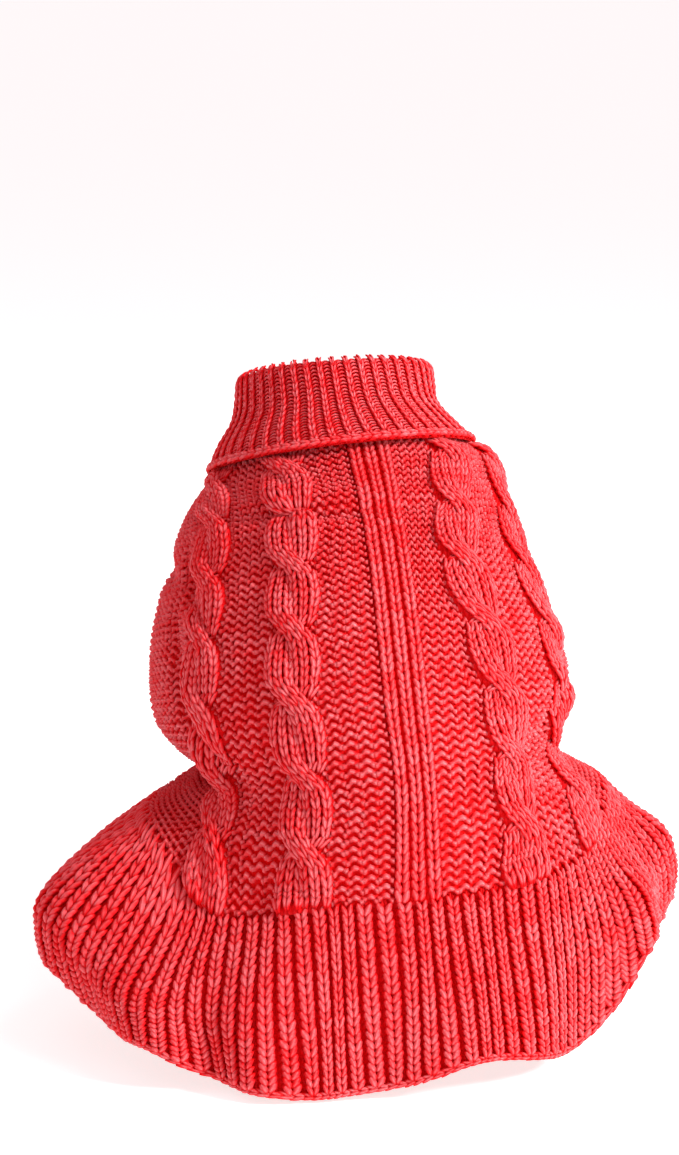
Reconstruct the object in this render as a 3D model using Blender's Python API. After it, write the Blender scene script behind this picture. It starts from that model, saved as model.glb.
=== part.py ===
"""A cable-knit dog sweater with a fold-over collar and a fluted skirt, in the hollow form it has when worn.

The wearer sits with its back to -Y and its head up and forward to +Y. The origin is the middle of the
neck seam, where the wearer holds the garment. Sizes are in millimetres and are turned to metres at the end.
"""

import math

import bmesh
import bpy
import numpy as np

MM = 0.001
QUARTER_TURN = 90.0
COLLECTION = "dog_sweater"

# Cloth
BODY_WALL = 2.4
SKIRT_WALL = 2.2
CUFF_WALL = 2.0
SEAM_GAP = 0.42

# The knitting of the back, counted in wales from its centre line: a rib, then purl, cable, purl, cable, purl
RIB_WALES = 3
PURL_WALES = 4
CABLE_WALES = 6
SIDE_WALES = 18
RIB_WIDTH = 17.2
RIB_PLATFORM = 0.9
RIB_CREST = 0.9
RIB_STEP = 0.4
PATTERN_TURN = 2.0
RELIEF_STARTS, RELIEF_FULL = 9.0, 24.0

# Cables: two strands that change sides once a repeat and pull the cloth in where they cross
CABLE_WIDTH = 20.4
CABLE_REPEAT = 28.0
CABLE_START = 9.0
CABLE_CROSSING = 0.5
CABLE_HEIGHT = 3.6
CABLE_OVER = 1.2
CABLE_PULL = 1.1
STRAND_WIDTH = 0.66
STRAND_REACH = 0.23

# Armholes, on the side seams
ARMHOLE_AT = 98.0
ARMHOLE_HALF_LENGTH = 30.0
ARMHOLE_INTO_BACK = 10.0
ARMHOLE_INTO_BELLY = 26.0
ARMHOLE_POWER = 0.75

# The belly is cut away in an arch at its hem
BELLY_ARCH = 26.0

# Cuffs: sewn just inside the armhole's edge and drawn in to a round end
CUFF_LENGTH = 27.0
CUFF_RADIUS = 21.0
CUFF_BULGE = 3.0
CUFF_INSET = 0.7
CUFF_RISE = 0.2
CUFF_RIBS = 20
CUFF_RIB_HEIGHT = 0.9
CUFF_AIM = (0.02, 0.60, -0.80)
ARMHOLE_LOOP = 0.999

# Collar, in the frame of its own axis
COLLAR_TILT = 15.0
COLLAR_RIBS = 46
COLLAR_RIB_HEIGHT = 1.1
COLLAR_TWIST = 7.0
COLLAR_TWIST_EASE = 0.7

# Skirt
SKIRT_ANGLE = 122.0
SKIRT_RIBS = 60
SKIRT_RIB_HEIGHT = 1.3

# Each row is one girth: its sideways shift, where its back, side and belly lie, how squarely and how gently
# it droops from its sides, how far it rolls to the right and how far its left haunch sags. A square of 2 and
# an ease of 0.5 keep a girth in one plane. A girth of the body also says where its side seam runs and how
# wide the purl between the rib and a cable is on its left and on its right.
RING_COLUMNS = (
    "middle_x", "back_y", "back_z", "side_x", "side_y", "side_z", "belly_y", "belly_z", "square", "ease",
    "roll", "sag",
)
BODY_COLUMNS = RING_COLUMNS + ("seam_angle", "purl_gap", "right_purl_gap")
BODY_GIRTHS = {
    "neck_seam": (0, -40.5, 9, 37, 0, -1.5, 40, -12, 2, 0.5, 0.02, 0, 124, 14.5, 14.5),
    "nape": (-0.4, -61.5, -5.5, 58.8, -2, -23.5, 54, -36.5, 2, 0.5, 0.09, 0, 130, 16, 15.5),
    "withers": (-1, -84, -19.5, 66.5, -12, -40, 60, -60, 2, 0.5, 0.03, 0, 136, 17.5, 14.5),
    "shoulder": (-1.5, -105, -36, 74.5, -26, -61, 53, -84, 2, 0.5, 0.02, 0, 139, 19.5, 12),
    "chest": (-2, -125, -58, 80, -44, -80, 38, -102, 2, 0.5, 0.02, 0, 137, 21.5, 17.5),
    "ribs": (-2, -143, -84, 80, -62, -102, 20, -115, 2, 0.5, 0.04, 0, 132, 23, 22),
    "waist": (-0.5, -156, -112, 67.5, -78, -120, 3, -122, 3.5, 0.8, 0.07, 2, 127, 24.5, 26),
    "skirt_seam": (-2, -167, -151, 88, -94, -131, -15, -130, 8, 1, 0.05, 8, 122, 21, 23.5),
}
SAG_ANGLE = -49.0
SAG_SPREAD = 18.0

# Soft creases pressed into the body: where each lies, its slant, and how long, wide and deep it is.
CREASE_COLUMNS = ("down", "angle", "slant", "length", "width", "depth")
BODY_CREASES = (
    (67.0, -93.0, 20.0, 26.0, 6.0, 4.0),
    (46.0, 82.0, -25.0, 22.0, 6.0, 3.0),
    (106.0, 82.0, 30.0, 24.0, 7.0, 2.5),
    (166.0, -92.0, 8.0, 24.0, 7.0, 7.0),
    (162.0, 92.0, -8.0, 24.0, 8.0, 2.0),
)

# Each row is one ring of the skirt, from its seam to its hem.
SKIRT_RINGS = {
    "seam": (-2.0, -167.5, -151.7, 88.4, -94.0, -131.6, -14.6, -130.6, 8.0, 1.0, 0.05, 8.0),
    "upper": (-8.5, -176.0, -167.0, 104.5, -97.0, -144.0, -8.0, -145.0, 6.0, 1.0, 0.06, 7.0),
    "middle": (-11.0, -184.0, -184.0, 117.5, -100.0, -157.0, -4.0, -160.0, 4.5, 1.0, 0.07, 5.0),
    "lower": (-10.0, -190.0, -200.0, 118.5, -103.0, -170.0, -3.0, -174.0, 3.7, 1.0, 0.07, 2.0),
    "hem": (-9.0, -195.0, -214.0, 116.0, -105.0, -181.0, -3.0, -187.0, 3.4, 1.0, 0.07, 0.0),
}

# The flutes of the ruffle: the angle of each, its half width in degrees, and how far it stands out and how
# far it lifts at the hem.
WAVE_COLUMNS = ("angle", "half_width", "depth", "lift")
SKIRT_WAVES = (
    (-112.0, 11.0, -5.0, 0.0),
    (-93.0, 11.0, 5.0, 0.0),
    (-65.0, 10.0, -5.5, -4.0),
    (-47.0, 9.0, 4.0, 6.5),
    (-35.0, 6.0, -6.0, 0.0),
    (-26.0, 6.0, 4.0, 2.0),
    (-5.0, 9.0, -3.5, 0.5),
    (14.0, 11.0, 4.0, 8.5),
    (38.0, 9.0, -5.5, -6.0),
    (57.0, 7.5, 4.0, 12.5),
    (70.0, 7.0, -3.5, -2.0),
    (86.0, 9.0, 4.5, 7.0),
    (106.0, 10.0, -5.0, 0.0),
)

# The collar's section, once round its wall: height along the axis, radius across, radius back, sideways
# shift and how far the ring rolls to the right in degrees. Its outer face, from the fold down to the edge,
# carries the ribs.
COLLAR_COLUMNS = ("height", "across", "back", "aside", "roll", "ribbed")
COLLAR_SECTION = (
    (0.2, 37.0, 40.4, 0.0, 0.0, 0),
    (8.0, 35.4, 39.2, -1.4, 2.2, 0),
    (15.0, 35.2, 38.8, -2.0, 2.1, 0),
    (20.0, 35.6, 39.4, -2.0, 1.7, 0),
    (22.0, 37.4, 41.6, -2.0, 1.5, 1),
    (20.2, 39.4, 43.6, -2.0, 1.6, 1),
    (13.0, 40.1, 44.8, -2.3, 2.2, 1),
    (5.0, 41.6, 47.6, -2.6, 2.9, 1),
    (-4.5, 48.2, 54.6, -2.2, 3.7, 1),
    (-12.4, 53.8, 59.8, -0.6, 4.3, 1),
    (-13.0, 52.0, 58.0, -0.6, 4.4, 0),
    (-4.5, 46.2, 52.4, -2.2, 3.7, 0),
    (4.0, 39.8, 45.8, -2.4, 3.0, 0),
    (12.0, 38.2, 42.8, -2.2, 2.3, 0),
    (17.0, 37.4, 41.8, -2.0, 1.9, 0),
    (10.0, 37.0, 41.2, -1.6, 2.4, 0),
    (0.2, 38.6, 42.4, 0.0, 0.0, 0),
)

# Grids: the outer side carries the relief, the inner side is plain and coarser.
BODY_ROWS = 40
BODY_INNER_ROWS = 20
BACK_INNER_COLUMNS = 30
RIB_SHARES = (0.0, 1 / 3, 2 / 3, 1.0)
NEAR_PURL_SHARES = (0.09, 0.5, 0.92)
FAR_PURL_SHARES = (0.1, 0.36, 0.64, 0.9)
SIDE_SHARES = (0.04, 0.18, 0.36, 0.57, 0.78, 1.0)
CABLE_COLUMNS = 8
BELLY_COLUMNS = 16
SKIRT_ROWS = 7
CUFF_ROWS = 3
RIB_PROFILE = (0.0, 1.0, 1.0)

# Knitted acrylic, one dye for every piece, a little deeper where it is hidden
KNIT_COLOURS = {
    "back_panel": (0.80, 0.030, 0.045, 1.0),
    "belly_panel": (0.72, 0.022, 0.036, 1.0),
    "collar": (0.80, 0.030, 0.045, 1.0),
    "skirt": (0.82, 0.034, 0.048, 1.0),
    "cuff_left": (0.74, 0.024, 0.038, 1.0),
    "cuff_right": (0.74, 0.024, 0.038, 1.0),
}
KNIT_ROUGHNESS = 0.72


# ---- Numbers -------------------------------------------------------------------------------------


def smooth_step(value):
    """0 to 1, level at both ends."""
    value = np.clip(value, 0.0, 1.0)
    return value * value * (3.0 - 2.0 * value)


def through(values, position):
    """The smooth curve through evenly numbered values, read at a position between them."""
    values = np.asarray(values, float)
    padded = np.concatenate([[2 * values[0] - values[1]], values, [2 * values[-1] - values[-2]]])
    position = np.asarray(position, float)
    before = np.clip(np.floor(position).astype(int), 0, len(values) - 2)
    part = position - before
    a, b, c, d = (padded[before + k] for k in range(4))
    return b + 0.5 * part * (c - a + part * (2 * a - 5 * b + 4 * c - d + part * (3 * (b - c) + d - a)))


def columns_at(rows, names, position):
    """Every column of a table of sections, read at a position between its rows."""
    table = np.array(list(rows.values()))
    return {name: through(table[:, k], position) for k, name in enumerate(names)}


def normals_of(surface, first, second, step_first, step_second):
    """Unit vectors off a surface, turned to its outer side."""
    along = surface(first + step_first, second) - surface(first - step_first, second)
    across = surface(first, second + step_second) - surface(first, second - step_second)
    normal = np.cross(along, across)
    return normal / np.linalg.norm(normal, axis=-1, keepdims=True)


# ---- Body ----------------------------------------------------------------------------------------


def ring_point(ring, angle):
    """A point of a girth: angle 0 is the middle of the back, 180 the middle of the belly."""
    turn = np.radians(angle)
    sine, cosine = np.sin(turn), np.cos(turn)
    behind = cosine > 0
    reach_y = np.where(behind, ring["back_y"] - ring["side_y"], ring["side_y"] - ring["belly_y"])
    reach_z = np.where(behind, ring["back_z"] - ring["side_z"], ring["belly_z"] - ring["side_z"])
    fall = np.clip(1.0 - np.abs(sine) ** ring["square"], 0.0, 1.0) ** ring["ease"]
    sag = ring["sag"] * np.exp(-(((angle - SAG_ANGLE) / SAG_SPREAD) ** 2))
    across = ring["side_x"] * sine
    return np.stack(
        [
            ring["middle_x"] + across,
            ring["side_y"] + reach_y * cosine,
            ring["side_z"] + reach_z * fall + ring["roll"] * across - sag,
        ],
        axis=-1,
    )


def body_lengths():
    """How far down the back each of many even steps through the girths lies."""
    position = np.linspace(0.0, len(BODY_GIRTHS) - 1.0, 281)
    ring = columns_at(BODY_GIRTHS, BODY_COLUMNS, position)
    steps = np.hypot(np.diff(ring["back_y"]), np.diff(ring["back_z"]))
    return position, np.concatenate([[0.0], np.cumsum(steps)])


BODY_POSITION, BODY_DOWN = body_lengths()
BODY_LENGTH = float(BODY_DOWN[-1])
END_STRETCH = BODY_LENGTH / (len(BODY_GIRTHS) - 1)


def body_ring(down):
    """The girth of the body at a distance down its back, carried on a little past both ends."""
    past = np.minimum(down, 0.0) / END_STRETCH + np.maximum(down - BODY_LENGTH, 0.0) / END_STRETCH
    return columns_at(BODY_GIRTHS, BODY_COLUMNS, np.interp(down, BODY_DOWN, BODY_POSITION) + past)


def girth_radius(down):
    """The mean radius of the girth, which turns a length of cloth into an angle."""
    ring = body_ring(down)
    depth = 0.5 * np.hypot(ring["back_y"] - ring["belly_y"], ring["back_z"] - ring["belly_z"])
    return 0.5 * (ring["side_x"] + depth)


def crease_depth(down, angle):
    """How far the soft creases press the cloth in."""
    pressed = 0.0
    radius = girth_radius(down)
    for crease in BODY_CREASES:
        row = dict(zip(CREASE_COLUMNS, crease))
        away = np.radians(angle - row["angle"]) * radius
        below = down - row["down"]
        lean = math.radians(row["slant"])
        along = away * math.cos(lean) + below * math.sin(lean)
        across = below * math.cos(lean) - away * math.sin(lean)
        near = np.exp(-((along / row["length"]) ** 2) - (across / row["width"]) ** 2)
        pressed = pressed + row["depth"] * near
    return pressed


def body_bare(down, angle):
    """The cloth's outer ground before it is creased."""
    return ring_point(body_ring(down), angle)


def body_surface(down, angle):
    """The cloth's outer ground, with its creases."""
    out = normals_of(body_bare, down, angle, 0.5, 0.5)
    return body_bare(down, angle) - out * crease_depth(down, angle)[..., None]


def body_offset(down, angle, height):
    """A point raised off the body's outer ground, or below it where the height is negative."""
    out = normals_of(body_surface, down, angle, 0.8, 0.8)
    return body_surface(down, angle) + out * np.asarray(height)[..., None]


# ---- Armholes and side seams ---------------------------------------------------------------------


def armhole_share(down):
    """1 at the middle of the armhole, 0 past its ends."""
    inside = np.clip(1.0 - ((down - ARMHOLE_AT) / ARMHOLE_HALF_LENGTH) ** 2, 0.0, 1.0)
    return inside**ARMHOLE_POWER


def half_gap_angle(down):
    return np.degrees(0.5 * SEAM_GAP / girth_radius(down))


def back_edge(down):
    """The angle of the back panel's side edge."""
    return body_ring(down)["seam_angle"] - half_gap_angle(down) - ARMHOLE_INTO_BACK * armhole_share(down)


def belly_edge(down):
    """The angle of the belly panel's side edge."""
    return body_ring(down)["seam_angle"] + half_gap_angle(down) + ARMHOLE_INTO_BELLY * armhole_share(down)


# ---- Knitting of the back ------------------------------------------------------------------------


def cable_turn(down):
    """How far through its repeat a cable is; its strands cross at a half."""
    turn = (down - CABLE_START) / CABLE_REPEAT
    return turn - np.floor(turn)


def pattern_edges(down, side):
    """The angles at which rib, purl, cable, purl and cable end, out from the centre line to a side."""
    pull = -CABLE_PULL * np.cos(2.0 * np.pi * cable_turn(down))
    ring = body_ring(down)
    gap = ring["purl_gap"]
    near_gap = np.where(side < 0, gap, ring["right_purl_gap"])
    cable = CABLE_WIDTH - 2.0 * pull
    widths = (0.5 * RIB_WIDTH + 0.0 * pull, near_gap + pull, cable, gap + 2.0 * pull, cable)
    return [*np.degrees(np.cumsum(widths, axis=0) / girth_radius(down))]


PATTERN_WALES = (0.5 * RIB_WALES, PURL_WALES, CABLE_WALES, PURL_WALES, CABLE_WALES, SIDE_WALES)
PATTERN_ENDS = np.cumsum(PATTERN_WALES)
RIB_END, FIRST_CABLE, FIRST_CABLE_END, SECOND_CABLE, SECOND_CABLE_END, LAST_WALE = PATTERN_ENDS


def wale_angle(down, wale):
    """The angle of a wale, counted out from the centre line, at a distance down the back."""
    down, wale = np.broadcast_arrays(np.asarray(down, float), np.asarray(wale, float))
    side = np.where(wale < 0, -1.0, 1.0)
    edges = pattern_edges(down, side)
    edges.append(back_edge(down) - side * PATTERN_TURN)
    starts = [np.zeros_like(down), *edges[:-1]]
    counted = np.abs(wale)
    angle = np.zeros_like(down)
    first = 0.0
    for start, end, last in zip(starts, edges, PATTERN_ENDS):
        share = (counted - first) / (last - first)
        angle = np.where(counted >= first, start + (end - start) * np.clip(share, 0.0, 1.0), angle)
        first = last
    return side * angle + PATTERN_TURN


def cable_relief(down, across):
    """The height of a two-strand cable: the left strand always passes over the right one."""
    passed = smooth_step((cable_turn(down) - 0.5) / CABLE_CROSSING + 0.5)
    half = 0.5 * STRAND_WIDTH
    height = np.zeros_like(across)
    for side in (-1.0, 1.0):
        centre = 0.5 + side * STRAND_REACH * (1.0 - 2.0 * passed)
        lift = -side * CABLE_OVER * np.sin(np.pi * passed)
        dome = np.sqrt(np.clip(1.0 - ((across - centre) / half) ** 2, 0.0, 1.0))
        height = np.maximum(height, (CABLE_HEIGHT + lift) * dome)
    return height


def back_relief(down, wale):
    """How far the knitting stands off the purl ground."""
    counted = np.abs(wale)
    ribbed = RIB_PLATFORM + RIB_CREST * np.abs(np.cos(np.pi * wale))
    height = np.where(counted < RIB_END, ribbed, np.where(counted == RIB_END, RIB_STEP, 0.0))
    for start in (FIRST_CABLE, SECOND_CABLE):
        across = (counted - start) / CABLE_WALES
        across = np.where(wale < 0, 1.0 - across, across)
        height = np.where((across > 0) & (across < 1), cable_relief(down, across), height)
    return height * smooth_step((down - RELIEF_STARTS) / (RELIEF_FULL - RELIEF_STARTS))


def back_wales():
    """The outer grid's columns: close together over ribs and cables, wide apart over purl."""
    rib = [RIB_END * share for share in RIB_SHARES]
    first_purl = [RIB_END + PURL_WALES * share for share in NEAR_PURL_SHARES]
    cable = [CABLE_WALES * k / CABLE_COLUMNS for k in range(CABLE_COLUMNS + 1)]
    second_purl = [FIRST_CABLE_END + PURL_WALES * share for share in FAR_PURL_SHARES]
    side = [SECOND_CABLE_END + SIDE_WALES * share for share in SIDE_SHARES]
    half = rib + first_purl + [FIRST_CABLE + w for w in cable] + second_purl
    half += [SECOND_CABLE + w for w in cable] + side
    return np.array([-w for w in reversed(half[1:])] + half)


# ---- Skirt ---------------------------------------------------------------------------------------


def wave_sum(angle, column):
    """A column of the flutes' table, summed over the flutes near an angle."""
    total = 0.0
    for wave in SKIRT_WAVES:
        row = dict(zip(WAVE_COLUMNS, wave))
        total = total + row[column] * np.exp(-(((angle - row["angle"]) / row["half_width"]) ** 2))
    return total


def rib_angle(down, angle):
    """Where a rib that leaves the seam at an angle has got to: the middle ones hang straight down."""
    seam = columns_at(SKIRT_RINGS, RING_COLUMNS, 0.0 * down)
    ring = columns_at(SKIRT_RINGS, RING_COLUMNS, down * (len(SKIRT_RINGS) - 1))
    behind = np.clip(angle, -QUARTER_TURN, QUARTER_TURN)
    across = seam["middle_x"] + seam["side_x"] * np.sin(np.radians(behind)) - ring["middle_x"]
    straight = np.degrees(np.arcsin(np.clip(across / ring["side_x"], -1.0, 1.0))) + angle - behind
    middle = np.clip(1.0 - (angle / SKIRT_ANGLE) ** 2, 0.0, 1.0) ** 2
    return angle + (straight - angle) * middle


def skirt_surface(down, angle):
    """The ruffle's outer ground: down runs from 0 at the seam to 1 at the hem."""
    ring = columns_at(SKIRT_RINGS, RING_COLUMNS, down * (len(SKIRT_RINGS) - 1))
    turn = np.radians(angle)
    growth = smooth_step(down)
    depth, lift = wave_sum(angle, "depth") * growth, wave_sum(angle, "lift") * growth
    return ring_point(ring, angle) + np.stack([depth * np.sin(turn), -depth * np.cos(turn), lift], axis=-1)


def skirt_offset(down, angle, height):
    out = normals_of(skirt_surface, down, angle, 0.01, 0.8)
    return skirt_surface(down, angle) + out * np.asarray(height)[..., None]


# ---- Collar --------------------------------------------------------------------------------------


def collar_point(row, angle, relief):
    """A point of the collar from a row of its section and an angle round the neck's axis."""
    lean = math.radians(COLLAR_TILT)
    turn = np.radians(angle)
    across = (row["across"] + relief) * np.sin(turn)
    outward = (row["back"] + relief) * np.cos(turn)
    along = row["height"] + across * math.tan(math.radians(row["roll"]))
    y = -outward * math.cos(lean) + along * math.sin(lean)
    z = outward * math.sin(lean) + along * math.cos(lean)
    return np.stack([row["aside"] + across, y, z], axis=-1)


def rib_relief(ribs, height):
    """The relief of each column round a ribbed edge: a groove, then a flat crest."""
    return np.tile(RIB_PROFILE, ribs) * height


def collar_rings():
    """The rings of the collar's wall, in order round its section, each with its own number of points."""
    rows = [dict(zip(COLLAR_COLUMNS, section)) for section in COLLAR_SECTION]
    low = min(row["height"] for row in rows)
    high = max(row["height"] for row in rows)
    rings = []
    for row in rows:
        count = COLLAR_RIBS * (len(RIB_PROFILE) if row["ribbed"] else 1)
        relief = rib_relief(COLLAR_RIBS, COLLAR_RIB_HEIGHT) if row["ribbed"] else 0.0
        lowered = (high - row["height"]) / (high - low)
        angle = 360.0 * np.arange(count) / count + COLLAR_TWIST * lowered**COLLAR_TWIST_EASE
        rings.append(collar_point(row, angle, relief))
    return rings


# ---- Cuffs ---------------------------------------------------------------------------------------


def unit(vectors):
    return vectors / np.linalg.norm(vectors, axis=-1, keepdims=True)


def armhole_loop(side, count):
    """Points once round an armhole: down the back panel's edge, then up the belly panel's."""
    half = count // 2
    swing = ARMHOLE_LOOP * ARMHOLE_HALF_LENGTH * np.cos(np.pi * np.arange(half) / half)
    down = np.concatenate([ARMHOLE_AT - swing, ARMHOLE_AT + swing])
    angle = np.concatenate([back_edge(down[:half]), belly_edge(down[half:])])
    return body_offset(down, side * angle, np.full(count, CUFF_RISE))


def cuff_rings(side, ribbed, depth):
    """The rings of one face of a cuff, a depth inside its outer ground, from the armhole to its round end."""
    loop = armhole_loop(side, CUFF_RIBS * (len(RIB_PROFILE) if ribbed else 1))
    relief = rib_relief(CUFF_RIBS, CUFF_RIB_HEIGHT)[:, None] if ribbed else 0.0
    aim = unit(np.array([side * CUFF_AIM[0], CUFF_AIM[1], CUFF_AIM[2]]))
    middle = loop.mean(axis=0)
    away = loop - middle
    flat = unit(away - (away @ aim)[:, None] * aim)
    start = loop - unit(away) * (CUFF_INSET + depth)
    end = middle + aim * CUFF_LENGTH + flat * (CUFF_RADIUS - depth)
    rings = []
    for share in shares(CUFF_ROWS + 1):
        stand = CUFF_BULGE * math.sin(math.pi * share) + relief * smooth_step(share * CUFF_ROWS)
        rings.append(start * (1.0 - share) + end * share + flat * stand)
    return rings


# ---- Meshes --------------------------------------------------------------------------------------


def join_rows(faces, first, first_at, second, second_at):
    """Fills the strip between two rows of points that need not match in number."""
    i = j = 0
    while i < len(first) - 1 or j < len(second) - 1:
        ahead = j == len(second) - 1 or (i < len(first) - 1 and first_at[i + 1] <= second_at[j + 1])
        if ahead:
            faces.append((first[i], first[i + 1], second[j]))
            i += 1
        else:
            faces.append((first[i], second[j + 1], second[j]))
            j += 1


def grid_faces(numbers, faces):
    """Quads over a grid of point numbers."""
    for upper, lower in zip(numbers[:-1], numbers[1:]):
        for k in range(len(upper) - 1):
            faces.append((upper[k], upper[k + 1], lower[k + 1], lower[k]))


def shares(count):
    return np.linspace(0.0, 1.0, count)


def panel_mesh(outer, inner, outer_across=None):
    """A wall between two grids over the same panel, closed along its four edges."""
    points = np.concatenate([outer.reshape(-1, 3), inner.reshape(-1, 3)])
    outside = np.arange(outer.shape[0] * outer.shape[1]).reshape(outer.shape[:2])
    inside = np.arange(inner.shape[0] * inner.shape[1]).reshape(inner.shape[:2]) + outside.size
    faces = []
    grid_faces(outside, faces)
    grid_faces(inside[:, ::-1], faces)
    across = shares(outer.shape[1]) if outer_across is None else outer_across
    for row in (0, -1):
        join_rows(faces, outside[row], across, inside[row], shares(inner.shape[1]))
    down, inner_down = shares(outer.shape[0]), shares(inner.shape[0])
    for column in (0, -1):
        join_rows(faces, outside[:, column], down, inside[:, column], inner_down)
    return points, faces


def ring_mesh(rings):
    """A closed wall through a list of rings that follow one another round its section."""
    points = np.concatenate(rings)
    numbers, start = [], 0
    for ring in rings:
        numbers.append([*range(start, start + len(ring)), start])
        start += len(ring)
    faces = []
    for one, other in zip(numbers, numbers[1:] + numbers[:1]):
        join_rows(faces, one, shares(len(one)), other, shares(len(other)))
    return points, faces


def knit_material(name):
    material = bpy.data.materials.new(name + "_knit")
    material.use_nodes = True
    shader = material.node_tree.nodes["Principled BSDF"]
    shader.inputs["Base Color"].default_value = KNIT_COLOURS[name]
    shader.inputs["Roughness"].default_value = KNIT_ROUGHNESS
    shader.inputs["Metallic"].default_value = 0.0
    material.diffuse_color = KNIT_COLOURS[name]
    return material


def add_piece(collection, name, points, faces):
    """One closed piece of cloth as an object of its own."""
    mesh = bpy.data.meshes.new(name)
    mesh.from_pydata((points * MM).tolist(), [], [tuple(int(k) for k in face) for face in faces])
    work = bmesh.new()
    work.from_mesh(mesh)
    bmesh.ops.recalc_face_normals(work, faces=work.faces)
    work.to_mesh(mesh)
    work.free()
    mesh.shade_smooth()
    mesh.materials.append(knit_material(name))
    piece = bpy.data.objects.new(name, mesh)
    collection.objects.link(piece)
    return piece


# ---- Pieces --------------------------------------------------------------------------------------


def make_back(collection):
    wales = back_wales()
    down, wale = np.meshgrid(np.linspace(0.0, BODY_LENGTH, BODY_ROWS + 1), wales, indexing="ij")
    outer = body_offset(down, wale_angle(down, wale), back_relief(down, wale))
    rows = np.linspace(0.0, BODY_LENGTH, BODY_INNER_ROWS + 1)
    down, across = np.meshgrid(rows, np.linspace(-1.0, 1.0, BACK_INNER_COLUMNS + 1), indexing="ij")
    inner = body_offset(down, across * back_edge(down), np.full(down.shape, -BODY_WALL))
    reach = wale_angle(0.0, wales)
    outer_across = (reach - reach[0]) / (reach[-1] - reach[0])
    add_piece(collection, "back_panel", *panel_mesh(outer, inner, outer_across))


def belly_grid(height, rows):
    """A face of the belly panel, cut away in an arch at its hem."""
    share, across = np.meshgrid(shares(rows + 1), np.linspace(-1.0, 1.0, BELLY_COLUMNS + 1), indexing="ij")
    down = share * (BODY_LENGTH - BELLY_ARCH * np.cos(0.5 * np.pi * across) ** 2)
    angle = 180.0 + across * (180.0 - belly_edge(down))
    return body_offset(down, angle, np.full(down.shape, height))


def make_belly(collection):
    outer = belly_grid(0.0, BODY_ROWS)
    inner = belly_grid(-BODY_WALL, BODY_INNER_ROWS)
    add_piece(collection, "belly_panel", *panel_mesh(outer, inner))


def make_skirt(collection):
    columns = np.linspace(-SKIRT_ANGLE, SKIRT_ANGLE, SKIRT_RIBS * len(RIB_PROFILE) + 1)
    down, angle = np.meshgrid(shares(SKIRT_ROWS + 1), columns, indexing="ij")
    relief = np.append(rib_relief(SKIRT_RIBS, SKIRT_RIB_HEIGHT), 0.0)
    outer = skirt_offset(down, rib_angle(down, angle), np.broadcast_to(relief, down.shape))
    columns = np.linspace(-SKIRT_ANGLE, SKIRT_ANGLE, SKIRT_RIBS + 1)
    down, angle = np.meshgrid(shares(SKIRT_ROWS + 1), columns, indexing="ij")
    inner = skirt_offset(down, rib_angle(down, angle), np.full(down.shape, -SKIRT_WALL))
    add_piece(collection, "skirt", *panel_mesh(outer, inner))


def make_collar(collection):
    add_piece(collection, "collar", *ring_mesh(collar_rings()))


def make_cuff(collection, name, side):
    """A short ribbed tube from the armhole's edge to a round opening."""
    outer = cuff_rings(side, True, 0.0)
    inner = cuff_rings(side, False, CUFF_WALL)
    add_piece(collection, name, *ring_mesh(outer + inner[::-1]))


def main():
    for leftover in list(bpy.data.objects):
        bpy.data.objects.remove(leftover, do_unlink=True)
    collection = bpy.data.collections.new(COLLECTION)
    bpy.context.scene.collection.children.link(collection)
    make_back(collection)
    make_belly(collection)
    make_skirt(collection)
    make_collar(collection)
    make_cuff(collection, "cuff_left", -1.0)
    make_cuff(collection, "cuff_right", 1.0)


main()
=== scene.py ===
"""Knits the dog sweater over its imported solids: ground cloth, every stitch, cable, rib and bound-off edge."""

import logging
import math
from dataclasses import dataclass
from enum import Enum
from typing import Callable, ClassVar

import bpy
import numpy as np
from mathutils import Matrix, Vector


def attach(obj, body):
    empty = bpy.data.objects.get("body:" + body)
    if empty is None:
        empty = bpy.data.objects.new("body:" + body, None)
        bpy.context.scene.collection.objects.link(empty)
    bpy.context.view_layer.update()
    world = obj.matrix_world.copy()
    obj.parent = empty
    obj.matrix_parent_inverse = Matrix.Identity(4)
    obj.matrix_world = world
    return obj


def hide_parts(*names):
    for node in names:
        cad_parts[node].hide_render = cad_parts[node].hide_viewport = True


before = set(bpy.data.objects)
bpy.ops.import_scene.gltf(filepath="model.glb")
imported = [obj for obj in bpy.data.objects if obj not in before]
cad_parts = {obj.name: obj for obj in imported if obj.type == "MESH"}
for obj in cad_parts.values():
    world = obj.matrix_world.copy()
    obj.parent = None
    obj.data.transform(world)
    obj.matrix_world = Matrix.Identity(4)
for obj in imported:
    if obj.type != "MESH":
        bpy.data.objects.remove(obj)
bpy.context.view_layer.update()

Array = np.ndarray
Colour = tuple[float, float, float]
Point = tuple[float, float, float]

MM = 0.001
ROOT = "root"
LOG = logging.getLogger("dog_sweater")


# ---- Numbers -------------------------------------------------------------------------------------


def smooth_step(value: Array) -> Array:
    """Rises from 0 to 1, level at both ends."""
    value = np.clip(value, 0.0, 1.0)
    return value * value * (3.0 - 2.0 * value)


def unit(vectors: Array) -> Array:
    """Vectors of length one."""
    return vectors / np.linalg.norm(vectors, axis=-1, keepdims=True)


def through(values: Array, position: Array) -> Array:
    """Reads the smooth curve through evenly numbered values.

    Args:
        values: The values, one for each whole number.
        position: Where to read, between those numbers or a little past them.

    Returns:
        The curve's value at each position.
    """
    values = np.asarray(values, float)
    padded = np.concatenate([[2 * values[0] - values[1]], values, [2 * values[-1] - values[-2]]])
    position = np.asarray(position, float)
    before = np.clip(np.floor(position).astype(int), 0, len(values) - 2)
    part = position - before
    a, b, c, d = (padded[before + k] for k in range(4))
    return b + 0.5 * part * (c - a + part * (2 * a - 5 * b + 4 * c - d + part * (3 * (b - c) + d - a)))


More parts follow.
